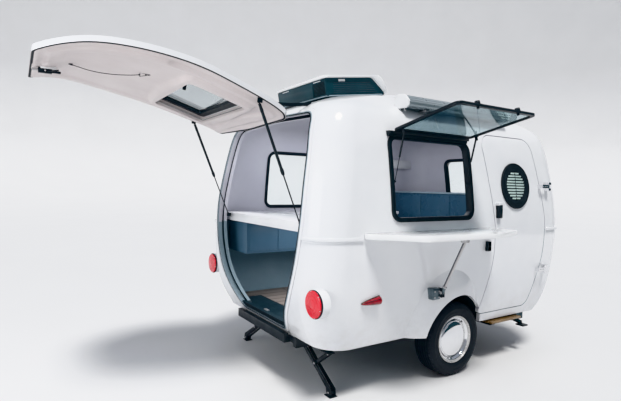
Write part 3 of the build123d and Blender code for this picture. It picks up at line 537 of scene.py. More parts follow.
# Housing faces towards the axle and the tyre get black rubber: painted shade of the dark wheel well; the rest is
# slate.
by_face("wheel_housings", ("slate", "rubber"), lambda c, n: 1 if n.dot(Vector((-2.45, c.y, 0.324 - 0.437)) - c) > 0 or abs(n.y) > 0.9 and n.y * c.y > 0 else 0)
for n in ("hatch_window_frame", "serve_frame", "flap_frame", "flap_fittings", "stay_brackets", "fixed_window_frames", "hatch_latch", "hatch_fittings", "hatch_mounts",
          "hatch_strut_tube_left", "hatch_strut_tube_right", "stay_tube_rear", "stay_tube_front"):
    paint(n, "trim")
for n in ("hatch_strut_rod_left", "hatch_strut_rod_right", "stay_rod_rear", "stay_rod_front"):
    paint(n, "chassis")
paint("pull_ring", "chassis")
for n in ("door_hinge_straps", "door_hinge_posts"):
    paint(n, "chrome")
for n in ("frame_rails", "tongue", "coupler", "axle"):
    paint(n, "chassis")
by_face("front_stabilisers", ("chassis", "ac"), lambda c, n: 1 if c.z > 0.325 - 0.437 else 0)
paint("tongue_jack", "zinc")
paint("shelf_brace", "gunmetal")
paint("outlet_box", "trim")
paint("door_handle", "trim")
paint("porthole_ring", "rubber")
paint("tail_lamp_bases", "white")
paint("fixed_window_glass", "clear")
paint("hatch_window_glass", "smoke")
paint("flap_glass", "tint")
paint("porthole_glass", "tint")
paint("ac_body", "ac")
paint("ac_cap", "shelf")
paint("counter", "counter")
paint("side_cabinet", "navy")
paint("front_cabinet", "navy2")
paint("cabin_floor", "floor")
paint("lamp_lenses", "lens")
for n, w in (("serving_shelf", 0.009), ("counter", 0.006), ("side_cabinet", 0.003), ("front_cabinet", 0.004), ("frame_rails", 0.004), ("tongue", 0.004), ("coupler", 0.003),
             ("ac_body", 0.006), ("ac_cap", 0.007), ("flap_frame", 0.003), ("outlet_box", 0.004), ("door_handle", 0.005), ("shelf_brace", 0.002), ("porthole_ring", 0.005),
             ("serve_frame", 0.004), ("fixed_window_frames", 0.004), ("rear_rim", 0.004), ("belt_moulding", 0.003), ("tail_lamp_bases", 0.003), ("hatch_latch", 0.003)):
    soften(n, w)


# ------------------------------------------------------------------ wheels
def wheels():
    n = 216
    grooves = (-62.0, -36.0, -10.0, 16.0, 42.0, 66.0)
    for tag, s, body in (("left", 1, "wheel_assembly_left"), ("right", -1, "wheel_assembly_right")):
        prof = [(201, -79), (206, -86), (214, -92), (232, -99), (238, -101.5), (242, -100.5), (256, -103.4), (268, -103.0), (271, -104.3), (274, -102.4), (286, -100.0), (296, -96.5), (304, -92.0), (311, -85.5), (316.5, -78)]
        tread = []
        y = -74.0
        while y <= 74.01:
            r = 323.8 - 3.2 * (abs(y) / 74) ** 2.2
            d = min(abs(y - g) for g in grooves)
            if d < 3.1:
                r -= 7.5
            tread.append((r, y))
            y += 2.0 if any(abs(y - g) < 7 for g in grooves) else 4.0
        prof = prof + tread + [(r, -t) for r, t in reversed(prof)]
        prof += [(198, 60), (196, 0), (198, -60)]
        b = Build()
        m = axes(Vector((0, s * 862.0, 324.0)), Vector((0, 1, 0)))
        verts, faces = [], []
        k = len(prof)
        for i in range(n):
            a = 2 * pi * i / n
            for r, t in prof:
                rr = r
                if r > 308:
                    ph = (i + (2 if t > 0 else 0)) % 4
                    if abs(t) > 66 and ph == 0:
                        rr = r - 5.5
                    elif 24 < abs(t) < 60 and (i + int(t // 12)) % 6 == 0:
                        rr = r - 3.5
                    elif abs(t) <= 24 and (i + (1 if t > 3 else 0)) % 9 == 0:
                        rr = r - 2.5
                verts.append(m @ Vector((rr * cos(a), rr * sin(a), t)))
        for i in range(n):
            a, c = i * k, ((i + 1) % n) * k
            for j in range(k):
                faces.append([a + j, a + (j + 1) % k, c + (j + 1) % k, c + j])
        b.add(verts, faces)
        b.make(f"road_tyre_{tag}", body, ["tyre"], [f"tyre_{tag}"], 28)
        # Steel rim with rolled lip, centre disc, chrome trim ring and domed cap.
        b = Build()
        out = s  # outboard side
        ax = Vector((0, out, 0))
        o = Vector((0, s * 862.0, 324.0))
        rim = [(200.2, -86), (204, -92), (207.6, -93), (208, -88), (203, -84), (198, -76), (192, -60), (186, -40), (184, 0), (186, 34), (192, 58), (196, 74), (199, 82), (203, 86), (207.8, 87), (208, 92), (204.5, 95.5),
               (199.5, 93), (194.5, 84), (190, 70), (181, 56), (176, 50), (170, 48), (152, 56), (146, 58), (120, 50), (60, 44), (40, 46), (40, 36), (60, 34), (118, 40), (150, 44), (168, 36), (177, 30), (180, 0), (182, -40), (188, -66), (194, -80), (198, -86)]
        b.lathe(rim, o, ax, 96, 0, closed=True)
        ring = [(179, 66), (180, 70), (182, 74.5), (186, 76), (190, 75), (192, 78), (190.5, 80.5), (186, 81), (182, 79), (179, 74.5), (174, 67), (170, 63), (171, 61), (176, 62)]
        b.lathe(ring, o, ax, 96, 1, closed=True)
        cap = [(160, 52), (164, 56), (166, 61), (164.5, 65), (161, 66.5), (158.5, 65.5), (157, 66)]
        cap += [(157 * cos(t * pi / 36), 66 + 33 * sin(t * pi / 36)) for t in range(1, 18)] + [(0, 99)]
        b.lathe([(0, 60), (138, 52), (158, 48)] + cap, o, ax, 96, 1)
        hub = [(0, -88), (34, -88), (40, -84), (44, -70), (44, 34), (40, 38), (0, 38)]
        b.lathe([(17, -88), (34, -88), (40, -84), (44, -70), (44, 40), (20, 40), (17, 38)], o, ax, 40, 2, closed=True)
        for i in range(5):
            a = 2 * pi * i / 5 + 0.3
            p = o + Vector((57 * cos(a), 0, 57 * sin(a)))
            b.cyl(p + ax * 30, p + ax * 54, 9, 6, 1.5, 2)
        a = 0.9
        p = o + Vector((172 * cos(a), 0, 172 * sin(a)))
        b.cyl(p + ax * 46, p + ax * 78, 4, 10, 1, 3)
        b.make(f"road_wheel_{tag}", body, ["rim", "chrome", "chassis", "rubber"], [f"wheel_{tag}"], 30)


wheels()


# ------------------------------------------------------------------ rear hatch: lining, seal and window trim
HX, HZ, OPEN = -1465.0, 2275.0, 97.2
CO, SO = cos(radians(OPEN)), sin(radians(OPEN))


def up_pt(x, y, z):
    """A point of the shut hatch, moved to the stored open pose."""
    dx, dz = x - HX, z - HZ
    return Vector((HX + dx * CO + dz * SO, y, HZ - dx * SO + dz * CO))


def outline(points, n=10):
    """Corner points (a, b, radius) to a rounded outline."""
    out, count = [], len(points)
    for i in range(count):
        p0, p1, p2 = (Vector(points[(i + d) % count][:2]) for d in (-1, 0, 1))
        r = points[i][2]
        u, v = (p0 - p1).normalized(), (p2 - p1).normalized()
        ang = u.angle(v)
        d = r / math.tan(ang / 2)
        centre = p1 + (u + v).normalized() * (r / sin(ang / 2))
        a, b = p1 + u * d - centre, p1 + v * d - centre
        a0 = atan2(a.y, a.x)
        turn = atan2(a.x * b.y - a.y * b.x, a.dot(b))
        for j in range(n + 1):
            t = a0 + turn * j / n
            out.append(centre + Vector((cos(t), sin(t))) * r)
    return out


REAR = ((0.0, 2226.0, 3000.0), (665.0, 2200.0, 105.0), (725.0, 1900.0, 1500.0), (776.0, 1400.0, 1300.0), (700.0, 960.0, 1200.0), (382.0, 478.0, 70.0))
REAR_FULL = list(REAR) + [(-y, z, r) for y, z, r in reversed(REAR[1:])]
LEAF = list(REAR[:-1]) + [(412.3, 524.0, 70.0)]
LEAF_FULL = LEAF + [(-y, z, r) for y, z, r in reversed(LEAF[1:])]


def resample(pts, count, closed=True):
    pts = [Vector(p) for p in pts]
    if closed:
        pts = pts + [pts[0]]
    lens = [0.0]
    for a, b in zip(pts, pts[1:]):
        lens.append(lens[-1] + (b - a).length)
    out, j = [], 0
    for i in range(count):
        t = lens[-1] * i / (count if closed else count - 1)
        while j < len(lens) - 2 and lens[j + 1] < t:
            j += 1
        d = lens[j + 1] - lens[j]
        out.append(pts[j].lerp(pts[j + 1], (t - lens[j]) / d if d else 0))
    return out


def shrink(pts, d):
    """Moves an anticlockwise or clockwise outline inwards by d."""
    c = sum(pts, Vector((0, 0))) / len(pts)
    out = []
    for i, p in enumerate(pts):
        t = (pts[(i + 1) % len(pts)] - pts[i - 1]).normalized()
        nrm = Vector((-t.y, t.x))
        if nrm.dot(c - p) < 0:
            nrm = -nrm
        out.append(p + nrm * d)
    return out


def step(t, a, b):
    t = min(1.0, max(0.0, (t - a) / (b - a)))
    return t * t * (3 - 2 * t)


def hatch():
    ob = NODES["rear_hatch"]
    ob.data.materials.clear()
    ob.data.materials.append(MAT["white"])
    ob.data.materials.append(MAT["lining"])
    inward = (up_pt(HX + 100, 0, 1500) - up_pt(HX, 0, 1500)).normalized()
    for p in ob.data.polygons:
        p.material_index = 1 if p.normal.dot(inward) > 0.35 else 0
    bvh = BVHTree.FromPolygons([v.co.copy() for v in ob.data.vertices], [tuple(p.vertices) for p in ob.data.polygons])

    def inner(y, z):
        """x of the lining side of the shut hatch at y, z."""
        a, b = up_pt(-1100, y, z), up_pt(-1700, y, z)
        hit = bvh.ray_cast(W(*a), W(*b) - W(*a))
        return -1100 - hit[3] * 1000 if hit[0] is not None else None

    count = 264
    edge = resample(outline(LEAF_FULL, 14), count)
    edge = shrink(edge, 7.0)
    win = rounded(-460, 460, 1705 - 225, 1705 + 225, 40, 8)
    win = [Vector(p) for p in win]
    wc = Vector((0.0, 1705.0))

    def on_win(direction):
        best = None
        for i in range(len(win)):
            a, b = win[i] - wc, win[(i + 1) % len(win)] - wc
            e = b - a
            den = direction.x * e.y - direction.y * e.x
            if abs(den) < 1e-9:
                continue
            t = (a.x * e.y - a.y * e.x) / den
            u = (a.x * direction.y - a.y * direction.x) / den
            if t > 0 and -1e-6 <= u <= 1 + 1e-6 and (best is None or t < best):
                best = t
        return wc + direction * best

    rows = 46
    grid = []
    lim = shrink(edge, 13.0)
    for i in range(count):
        e = lim[i]
        w = on_win((e - wc).normalized())
        line = []
        length = (w - e).length
        for j in range(rows):
            t = j / (rows - 1)
            t = t + 0.12 * sin(2 * pi * t) * -1 * 0.35
            p = e.lerp(w, t)
            do, dw = (p - e).length, (p - w).length
            h = 9 * step(do, 0, 14) + 15 * step(do, 58, 86) - 13 * step(do, 150, 205)
            near = min(dw, 400)
            h += 34 * (1 - step(near, 58, 112)) * step(length, 60, 220)
            h += 12 * (1 - step(hypot((p.x - 20) / 150, (p.y - 640) / 120), 0.55, 1.0))
            # shallow channel where the strut folds away
            g = (1 - step(abs(abs(p.x) - 670.0), 19, 40)) * step(p.y, 1270, 1305) * (1 - step(p.y, 1960, 2000))
            line.append((p, h * (1 - g)))
        grid.append(line)
    b = Build()
    verts, faces = [], []
    base = {}
    for line in grid:
        prev = None
        for p, h in line:
            q = Vector((p.x, p.y))
            x = inner(q.x, q.y)
            if x is None:
                x = prev if prev is not None else -1490.0
            prev = x
            verts.append(up_pt(x + 1.0 + h, q.x, q.y))
        p, h = line[-1]
        verts.append(up_pt(prev + h - 3, p.x, p.y) + Vector((0, 0, 0)))
        verts.append(up_pt(prev - 22, p.x + (0 if abs(p.x) < 455 else -4 * (1 if p.x > 0 else -1)), p.y))
    k = rows + 2
    for i in range(count):
        a, c = i * k, ((i + 1) % count) * k
        for j in range(k - 1):
            faces.append([a + j, a + j + 1, c + j + 1, c + j])
        faces.append([a, c, a + 0, c + 0][:0] or [a, a + 1, c + 1, c])
    faces = [f for n_, f in enumerate(faces) if (n_ + 1) % k != 0]
    b.add(verts, faces)
    lining = b.make("hatch_lining", "hatch", ["lining"], (), 60)
    # Rubber seal on the flange, just inside the hatch's edge.
    b = Build()
    path = []
    for inset in (5.0, 8.6, 12.2, 15.8):
        ring = shrink(edge, inset)
        xs = [inner(p.x, p.y) for p in ring]
        ref = [inner(p.x, p.y) for p in shrink(edge, inset + 6.0)]
        path = []
        for p, x, x2 in zip(ring, xs, ref):
            if x is None or (x2 is not None and abs(x - x2) > 9.0):
                x = x2 if x2 is not None else -1490.0
            path.append(up_pt(x + 1.2, p.x, p.y))
        b.tube(path, 2.4, 8, True, 0)
    b.make("hatch_seal", "hatch", ["rubber"])
    # Window trim: two beads and a dark inner frame with its catches.
    b = Build()
    for grow, lift, r, kk in ((4, 30.5, 3.4, 1), (-7, 22, 3.0, 0), (-14, 24, 2.6, 1)):
        pts = resample(rounded(-460 - grow, 460 + grow, 1480 - grow, 1930 + grow, 38 + max(grow, -20), 8), 150)
        path = []
        for p in pts:
            x = inner(p.x * (1.03 if abs(p.x) > 430 else 1.0), min(max(p.y, 1470), 1940))
            x = inner(p.x + 16 * (1 if p.x > 0 else -1), p.y) if abs(p.x) > 440 else (inner(p.x, p.y + (22 if p.y > 1705 else -22)))
            path.append(up_pt((x or -1480) + lift, p.x, p.y))
        b.tube(path, r, 8, True, kk)
    for y in (-240, 240):
        a, c = up_pt(-1452, y, 1505), up_pt(-1452, y, 1530)
        b.beam(a, c, 46, 14, 4, 0, up=(0, 1, 0))
    b.make("hatch_window_trim", "hatch", ["trim", "zinc"])
    return inner


inner_x = hatch()


# ------------------------------------------------------------------ lamps
def lamps():
    b = Build()
    for s in (-1, 1):
        o = Vector((-1504.0, s * 945.0, 813.0))
        ax = Vector((-1, 0, 0))
        prof = [(98, -2), (98, 9), (96.5, 13), (91, 15.5), (86, 15.2), (84.5, 14), (83, 15.4), (63, 17.2), (61.5, 15.6), (60, 17.6), (36, 19.4), (34.5, 17.6), (33, 19.8), (10, 20.6), (0, 20.7)]
        b.lathe(prof, o, ax, 72, 0)
        for i in range(6):
            a = 2 * pi * i / 6 + 0.26
            p = o + Vector((0, 94.0 * cos(a), 94.0 * sin(a)))
            b.cyl(p + ax * 8, p + ax * 15.0, 4.2, 10, 1, 1)
        b.lathe([(95, -6), (101, -6), (102, -4), (102, 5), (101, 7), (98.2, 7), (95, 0)], o, ax, 72, 2, closed=True)
    b.make("tail_lamp_lenses", "body", ["lens", "zinc", "rubber"], (), 25)


lamps()


def side_markers():
    b = Build()
    base = 1006.0
    for s in (-1, 1):
        for grow, k, proud, x_end in ((0.0, 0, 40.0, -957.0), (4.0, 1, 15.0, -953.0)):
            verts, faces, n, rows = [], [], 18, 26
            for i in range(rows):
                t = i / (rows - 1)
                x = -1122.0 - grow + (x_end + 1122.0 + grow) * t
                half = (33.0 + grow) * (t ** 0.62) * (1 - 0.06 * t) + 0.6
                zc = 782 + 14.0 * t
                lift = proud * (t ** 0.55) * (1 - 0.10 * t * t)
                for j in range(n + 1):
                    a = pi * j / n
                    verts.append(Vector((x, s * (base + 2 + lift * sin(a) ** 0.85), zc + half * cos(a))))
                verts.append(Vector((x, s * (base - 12), zc + half * -0.98)))
                verts.append(Vector((x, s * (base - 12), zc + half * 0.98)))
            w = n + 3
            for i in range(rows - 1):
                for j in range(w):
                    q = (j + 1) % w
                    faces.append([i * w + j, i * w + q, (i + 1) * w + q, (i + 1) * w + j])
            faces.append(list(range(w)))
            faces.append([(rows - 1) * w + j for j in range(w)][::-1])
            b.add(verts, faces, k)
        # dark ridge along the top of the lens
        ridge = []
        for i in range(14):
            t = 0.08 + 0.9 * i / 13
            half = 33.0 * (t ** 0.62) * (1 - 0.06 * t)
            lift = 40.0 * (t ** 0.55) * (1 - 0.10 * t * t)
            ridge.append((-1122.0 + 165.0 * t, s * (base + 2 + lift * sin(1.0) ** 0.85), 782 + 14.0 * t + half * cos(1.0)))
        b.tube(ridge, 2.6, 8, False, 2)
    b.make("side_marker_lamps", "body", ["marker", "bezel", "rubber"], ["lamp_lenses"])


side_markers()


# ------------------------------------------------------------------ door furniture
def door():
    # Round louvre in the porthole: plain pale slats in a dark dish, on the slope of the door.
    cx, cz, r = 718.0, 1681.0, 149.0
    lo, hi = door_y(cx, cz - 190), door_y(cx, cz + 190)
    slope = atan2(hi - lo, 380.0)
    front = (lo + hi) / 2 + 3.0
    tilt = Matrix.Translation((cx, front, cz)) @ Matrix.Rotation(-slope, 4, "X")
    b = Build()
    b.lathe([(0, 0), (r, 0), (r, 5), (0, 5)], tilt @ Vector((0, 2, 0)), tilt.to_3x3() @ Vector((0, 1, 0)), 72, 1)
    b.lathe([(r - 9, -4), (r, -4), (r, 2), (r - 9, 2)], tilt @ Vector((0, 0, 0)), tilt.to_3x3() @ Vector((0, 1, 0)), 72, 1, closed=True)
    pitch = 26.0
    z = -4.5 * pitch
    while z <= 4.51 * pitch:
        half = math.sqrt(max((r - 11) ** 2 - (abs(z) + 6) ** 2, 1))
        m = tilt @ Matrix.Translation((0, -1.2, z)) @ Matrix.Rotation(radians(14), 4, "X")
        b.box(-half, half, -1.3, 1.3, -7.8, 7.8, 1.0, 0, 2, m)
        z += pitch
    b.box(-3, 3, -5, 1, -(r - 10), r - 10, 1.5, 1, 2, tilt)
    b.make("porthole_louvre", "door", ["mint", "rubber"])
    b = Build()
    for rr, w in ((207.0, 3.2), (176.0, 1.6)):
        pts = []
        for i in range(96):
            a = 2 * pi * i / 96
            x, zz = cx + rr * cos(a), cz + rr * sin(a)
            pts.append((x, door_y(x, zz) - 1.0, zz))
        b.tube(pts, w, 8, True, 0)
    b.make("porthole_beads", "door", ["rubber"])
    # Paddle latch: bezel, recessed paddle, key barrel.
    b = Build()
    b.box(411, 463, -1058, -1010, 1386, 1506, 7, 1, 3)
    b.box(418, 456, -1062, -1050, 1394, 1468, 4, 0, 2)
    b.box(423, 451, -1062, -1052, 1474, 1498, 4, 0, 2)
    b.box(409, 465, -1055, -1012, 1500, 1530, 5, 3, 3)
    b.cyl((437, -1050, 1484), (437, -1061.5, 1484), 7, 20, 1.5, 2)
    b.make("door_latch", "door", ["trim", "rubber", "chrome", "panel"], ["door_handle"])
    # Bolt heads on the strap hinges.
    b = Build()
    for z in (866.0, 1684.0):
        for x in (1112, 1140, 1168):
            b.lathe([(0, 0), (6.5, 0), (6.5, 1.4), (4.5, 3.2), (0, 3.8)], (x, -1051.0, z), (0, -1, 0), 14, 0)
    b.make("door_hinge_bolts", "door", ["chrome"])


def skin_bvh(name):
    ob = NODES[name]
    return BVHTree.FromPolygons([v.co.copy() for v in ob.data.vertices], [tuple(p.vertices) for p in ob.data.polygons])


DOOR_BVH = skin_bvh("entry_door")
RING_BVH = skin_bvh("porthole_ring")


def door_y(x, z):
    for bvh in (RING_BVH, DOOR_BVH):
        o = W(x, -1400, z)
        hit = bvh.ray_cast(o, Vector((0, 1, 0)))
        if hit[0] is not None:
            return hit[0].y * 1000
    return -1010.0


door()


# ------------------------------------------------------------------ air conditioner
AC_TILT, AC_X, AC_Z = radians(8.0), -1032.0, 2404.0
AC_M = Matrix.Translation((AC_X, 0, AC_Z)) @ Matrix.Rotation(-AC_TILT, 4, "Y") @ Matrix.Translation((-AC_X, 0, -AC_Z - 20.0))


def ac():
    b = Build()
    # both sides: rows of small vents
    for s in (-1, 1):
        y = s * 400.4
        for row in range(6):
            z = 2456 + row * 16
            for i in range(40):
                x = -960 + i * 13.0 + (6.5 if row % 2 else 0)
                if x > -470 - (z - 2456) * 1.0:
                    continue
                b.box(x - 4.4, x + 4.4, y - 1.2, y + 1.2, z - 2.3, z + 2.3, 0.9, 3, 1, AC_M)
        b.box(-985, -455, y - 2.4, y + 2.4, 2441, 2446, 1, 1, 2, AC_M)
        b.box(-1000, -560, y - 1.6, y + 1.6, 2558, 2562, 1, 1, 2, AC_M)
    # rear face: vent panels and two narrow pale slots
    for y0, y1 in ((-375, -215),):
        for i in range(10):
            z = 2450 + i * 10.5
            x = -1034 - 10.2 * (z - 2424) / 153.0
            b.box(x - 2.6, x + 2, y0, y1, z - 2.6, z + 2.6, 1, 0, 1, AC_M)
    for y0, y1 in ((-330, -225), (190, 300)):
        b.box(-1046.5, -1041, y0, y1, 2559, 2566, 1, 2, 2, AC_M)
    for y in (-396, -205):
        b.box(-1044.0, -1030, y - 3, y + 3, 2436, 2560, 1.5, 1, 2, AC_M)
    b.make("ac_vents", "body", ["ac_deep", "ac", "panel", "vent"])
    b = Build()
    b.box(-905, -835, -403.5, -399, 2546, 2566, 2, 0, 2, AC_M)
    b.make("ac_blank_plate", "body", ["panel"])
    b = Build()
    # pan lip round the foot
    pts = resample2(rounded(-1046, -384, -406, 406, 62, 8), 120)
    b.tube([AC_M @ Vector((p[0], p[1], 2427)) for p in pts], 6.0, 8, True, 0)
    b.make("ac_pan_lip", "body", ["slate"])


def resample2(pts, n):
    return [(p.x, p.y) for p in resample([Vector(p) for p in pts], n)]


ac()


# ------------------------------------------------------------------ rolled awning
def awning():
    sec = outline([(-760.0, 2296.0, 6), (-760.0, 2388.0, 14), (-800.0, 2402.0, 26), (-872.0, 2392.0, 30), (-914.0, 2345.0, 26), (-914.0, 2300.0, 10), (-884.0, 2288.0, 6)], 8)
    pts = resample(sec, 140)
    c = sum(pts, Vector((0, 0))) / len(pts)
    ribs = []
    for i, p in enumerate(pts):
        d = (p - c).normalized()
        lift = -1.6
        if p.x < -790 and p.y > 2297:
            lift = -1.2 + 1.2 * (1 if (i // 4) % 2 else -1)
        ribs.append(p + d * lift)
    b = Build()
    b.prism([(p.x, p.y) for p in ribs], lambda p, t: Vector((-598.0 if t == 0 else 698.0, p[0], p[1])), 0.0, 0)
    b.make("awning_extrusion", "body", ["awning"], ["awning_case"], 22)
    b = Build()
    big = shrink(resample(sec, 72), -4.2)
    for x0, x1 in ((-614.0, -597.0), (697.0, 714.0)):
        b.prism([(p.x, p.y) for p in big], lambda p, t, x0=x0, x1=x1: Vector((x0 if t == 0 else x1, p[0], p[1])), 4.0, 0, 3)
    for x0, x1 in ((-400, -350), (460, 510)):
        b.box(x0, x1, -900, -830, 2276, 2290, 2, 1)
    for y in (-800.0, -868.0):
        # small hanging hooks under the rear end
        pts = [(-606.0, y, 2292), (-606.0, y, 2276), (-606.0, y - 5, 2265), (-606.0, y - 12, 2263), (-606.0, y - 16, 2270)]
        b.tube(pts, 3.0, 8, False, 1)
    b.cyl((-590, -916, 2300), (690, -916, 2300), 6, 12, 1, 2)
    b.make("awning_ends", "body", ["shelf", "zinc", "awning"])


awning()


# ------------------------------------------------------------------ stabiliser legs
def channel(b, p, q, w, h, t, k=0, up=(0, 0, 1)):
    """A U section between two points, open on one side."""
    m = axes(Vector(p), Vector(q) - Vector(p), up)
    d = (Vector(q) - Vector(p)).length
    for x0, x1, y0, y1 in ((-w / 2, w / 2, -h / 2, -h / 2 + t), (-w / 2, -w / 2 + t, -h / 2, h / 2), (w / 2 - t, w / 2, -h / 2, h / 2)):
        b.box(x0, x1, y0, y1, 0, d, 1.0, k, 1, m)


def stabilisers():
    b = Build()
    for s in (-1, 1):
        top, knee = Vector((-1185, s * 330, 312)), Vector((-1185, s * 738, 40))
        top2 = Vector((-1185, s * 500, 330))
        for x in (-1206, -1164):
            # two side straps of the leg, wide at the top and narrow at the foot
            pts = [(s * 300, 330), (s * 352, 338), (s * 560, 196), (s * 770, 66), (s * 776, 20), (s * 740, 6), (s * 712, 22), (s * 700, 60), (s * 520, 180)]
            b.prism(pts, lambda p, t, x=x: Vector((x - 2.5 + 5 * t, p[0], p[1])), 1.6, 0, 2)
        b.beam(top.lerp(knee, 0.1) + Vector((0, 0, -10)), top.lerp(knee, 0.92) + Vector((0, 0, -12)), 38, 5, 1.5, 0, up=(1, 0, 0))
        b.beam(top.lerp(knee, 0.2), top.lerp(knee, 0.96), 22, 14, 2, 1, up=(1, 0, 0))
        b.box(-1215, -1155, s * 345, s * 300, 286, 345, 3, 0)
        b.cyl((-1216, s * 330, 310), (-1154, s * 330, 310), 9, 16, 2, 2)
        channel(b, (-1185, s * 716, 334), (-1185, s * 540, 200), 32, 24, 4, 0, up=(1, 0, 0))
        b.box(-1215, -1155, s * 740, s * 527, 331, 343.5, 2, 0)
        b.cyl((-1216, s * 540, 196), (-1154, s * 540, 196), 9, 14, 2, 2)
        b.cyl((-1208, s * 712, 326), (-1162, s * 712, 326), 7, 14, 2, 2)
        b.cyl((-1212, s * 740, 26), (-1158, s * 740, 26), 22, 24, 3, 0)
        b.box(-1222, -1148, s * 778, s * 700, 0.5, 8, 4, 0)
        b.cyl((-1215, s * 740, 32), (-1155, s * 740, 32), 8, 14, 2, 2)
        b.lathe([(0, 0), (11, 0), (11, 26), (8, 30), (0, 30)], (-1205, s * 470, 330), (-1, 0, 0), 6, 2)
    b.make("rear_legs", "body", ["chassis", "zinc", "amber"], ["rear_stabilisers"])


stabilisers()


# ------------------------------------------------------------------ step, brace, outlet, struts
def small_things():
    b = Build()
    for x in (580.0, 920.0):
        channel(b, (x, -526, 366), (x, -905, 366), 40, 26, 4, 1)
    for i in range(6):
        y = -957 + i * 43.5
        b.box(520.5, 979.5, y, y + 36, 381, 401.5, 5, 0, 3)
    for x in (545, 955):
        b.box(x - 14, x + 14, -955, -702, 376.5, 383, 2, 1)
    b.make("door_step", "body", ["step", "chassis"], ["entry_step"])
    # Outlet covers: two flaps and two round sockets.
    b = Build()
    b.box(272, 307, -1060, -1057, 1146, 1178, 3, 0)
    b.box(272, 307, -1060, -1057, 1104, 1138, 3, 0)
    for z in (1121, 1162):
        b.cyl((289, -1057, z), (289, -1060, z), 10, 18, 1, 1)
    b.make("outlet_covers", "body", ["rubber", "vent"])
    # Shelf brace: black hinge bracket, collar, sleeve and bar.
    b = Build()
    lo, hi = Vector((-338, -1078, 800)), Vector((-335, -1280, 1243))
    b.box(-430, -345, -1066, -1000, 744, 836, 6, 0, 2)
    b.box(-424, -351, -1072, -1064, 752, 828, 4, 0, 2)
    b.box(-354, -346, -1092, -1020, 762, 834, 3, 1, 2)
    b.box(-330, -322, -1092, -1020, 762, 834, 3, 1, 2)
    b.cyl((-360, -1078, 800), (-318, -1078, 800), 12, 20, 2, 2)
    b.cyl((-366, -1078, 800), (-314, -1078, 800), 6, 6, 1, 2)
    b.cyl(lo.lerp(hi, -0.02), lo.lerp(hi, 0.11), 15.5, 22, 2, 0)
    b.cyl(lo.lerp(hi, 0.10), lo.lerp(hi, 0.125), 19, 22, 2, 2)
    b.beam(lo.lerp(hi, 0.08), lo.lerp(hi, 0.98), 24, 17, 5, 3, up=(1, 0, 0))
    # Thin dark strips along both sides of the bar: painted shade of its edges.
    b.beam(lo.lerp(hi, 0.13) + Vector((-12.5, 0, 0)), lo.lerp(hi, 0.96) + Vector((-12.5, 0, 0)), 3, 19, 1, 4, up=(1, 0, 0))
    b.beam(lo.lerp(hi, 0.13) + Vector((12.5, 0, 0)), lo.lerp(hi, 0.96) + Vector((12.5, 0, 0)), 3, 19, 1, 4, up=(1, 0, 0))
    b.cyl((-362, -1280, 1243), (-308, -1280, 1243), 9, 16, 2, 2)
    b.box(-360, -352, -1306, -1256, 1230, 1268, 3, 2, 2)
    b.box(-322, -316, -1306, -1256, 1230, 1268, 2.5, 2, 2)
    for x, z in ((-415, 766), (-415, 814), (-366, 766), (-366, 814)):
        b.lathe([(0, 0), (7, 0), (7, 2), (4, 4), (0, 4)], (x, -1072.0, z), (0, -1, 0), 12, 2)
    b.make("brace_detail", "body", ["gunmetal", "chassis", "zinc", "silver", "vent"], ["shelf_brace"])
    # Boots and collars on the hatch struts.
    top = up_pt(-1374, 0, 1926)
    foot = Vector((-1454, 0, 1342))
    d = (foot - top).normalized()
    full = (foot - top).length
    tube_len = hypot(-1374 + 1454, 1926 - 1342) - 40
    for tag, y in (("left", 670.0), ("right", -670.0)):
        b = Build()
        o = Vector((top.x, y, top.z))
        b.lathe([(11.2, 0), (12.0, 1), (12.2, 6), (12.2, 20), (12.0, 26), (11.2, 30)], o + d * 46, d, 24, 0)
        b.lathe([(11.2, 0), (13.0, 2), (14.2, 10), (14.2, 18), (13.0, 34), (11.4, 42), (7.2, 46.0), (7.0, 45)], o + d * (tube_len - 48), d, 24, 0)
        for t in (110, 118, 200):
            b.lathe([(11.1, 0), (12.4, 1), (12.4, 4), (11.1, 5)], o + d * t, d, 24, 1)
        b.make(f"strut_boots_{tag}", f"hatch_strut_{tag}", ["rubber", "trim"])
        b = Build()
        p = Vector((foot.x, y, foot.z))
        b.lathe([(5.2, 0), (7.4, 1), (8.2, 4), (8.2, 12), (7, 16), (5.2, 18)], p - d * 29, d, 20, 0)
        b.make(f"strut_end_{tag}", f"hatch_piston_{tag}", ["trim"])


small_things()


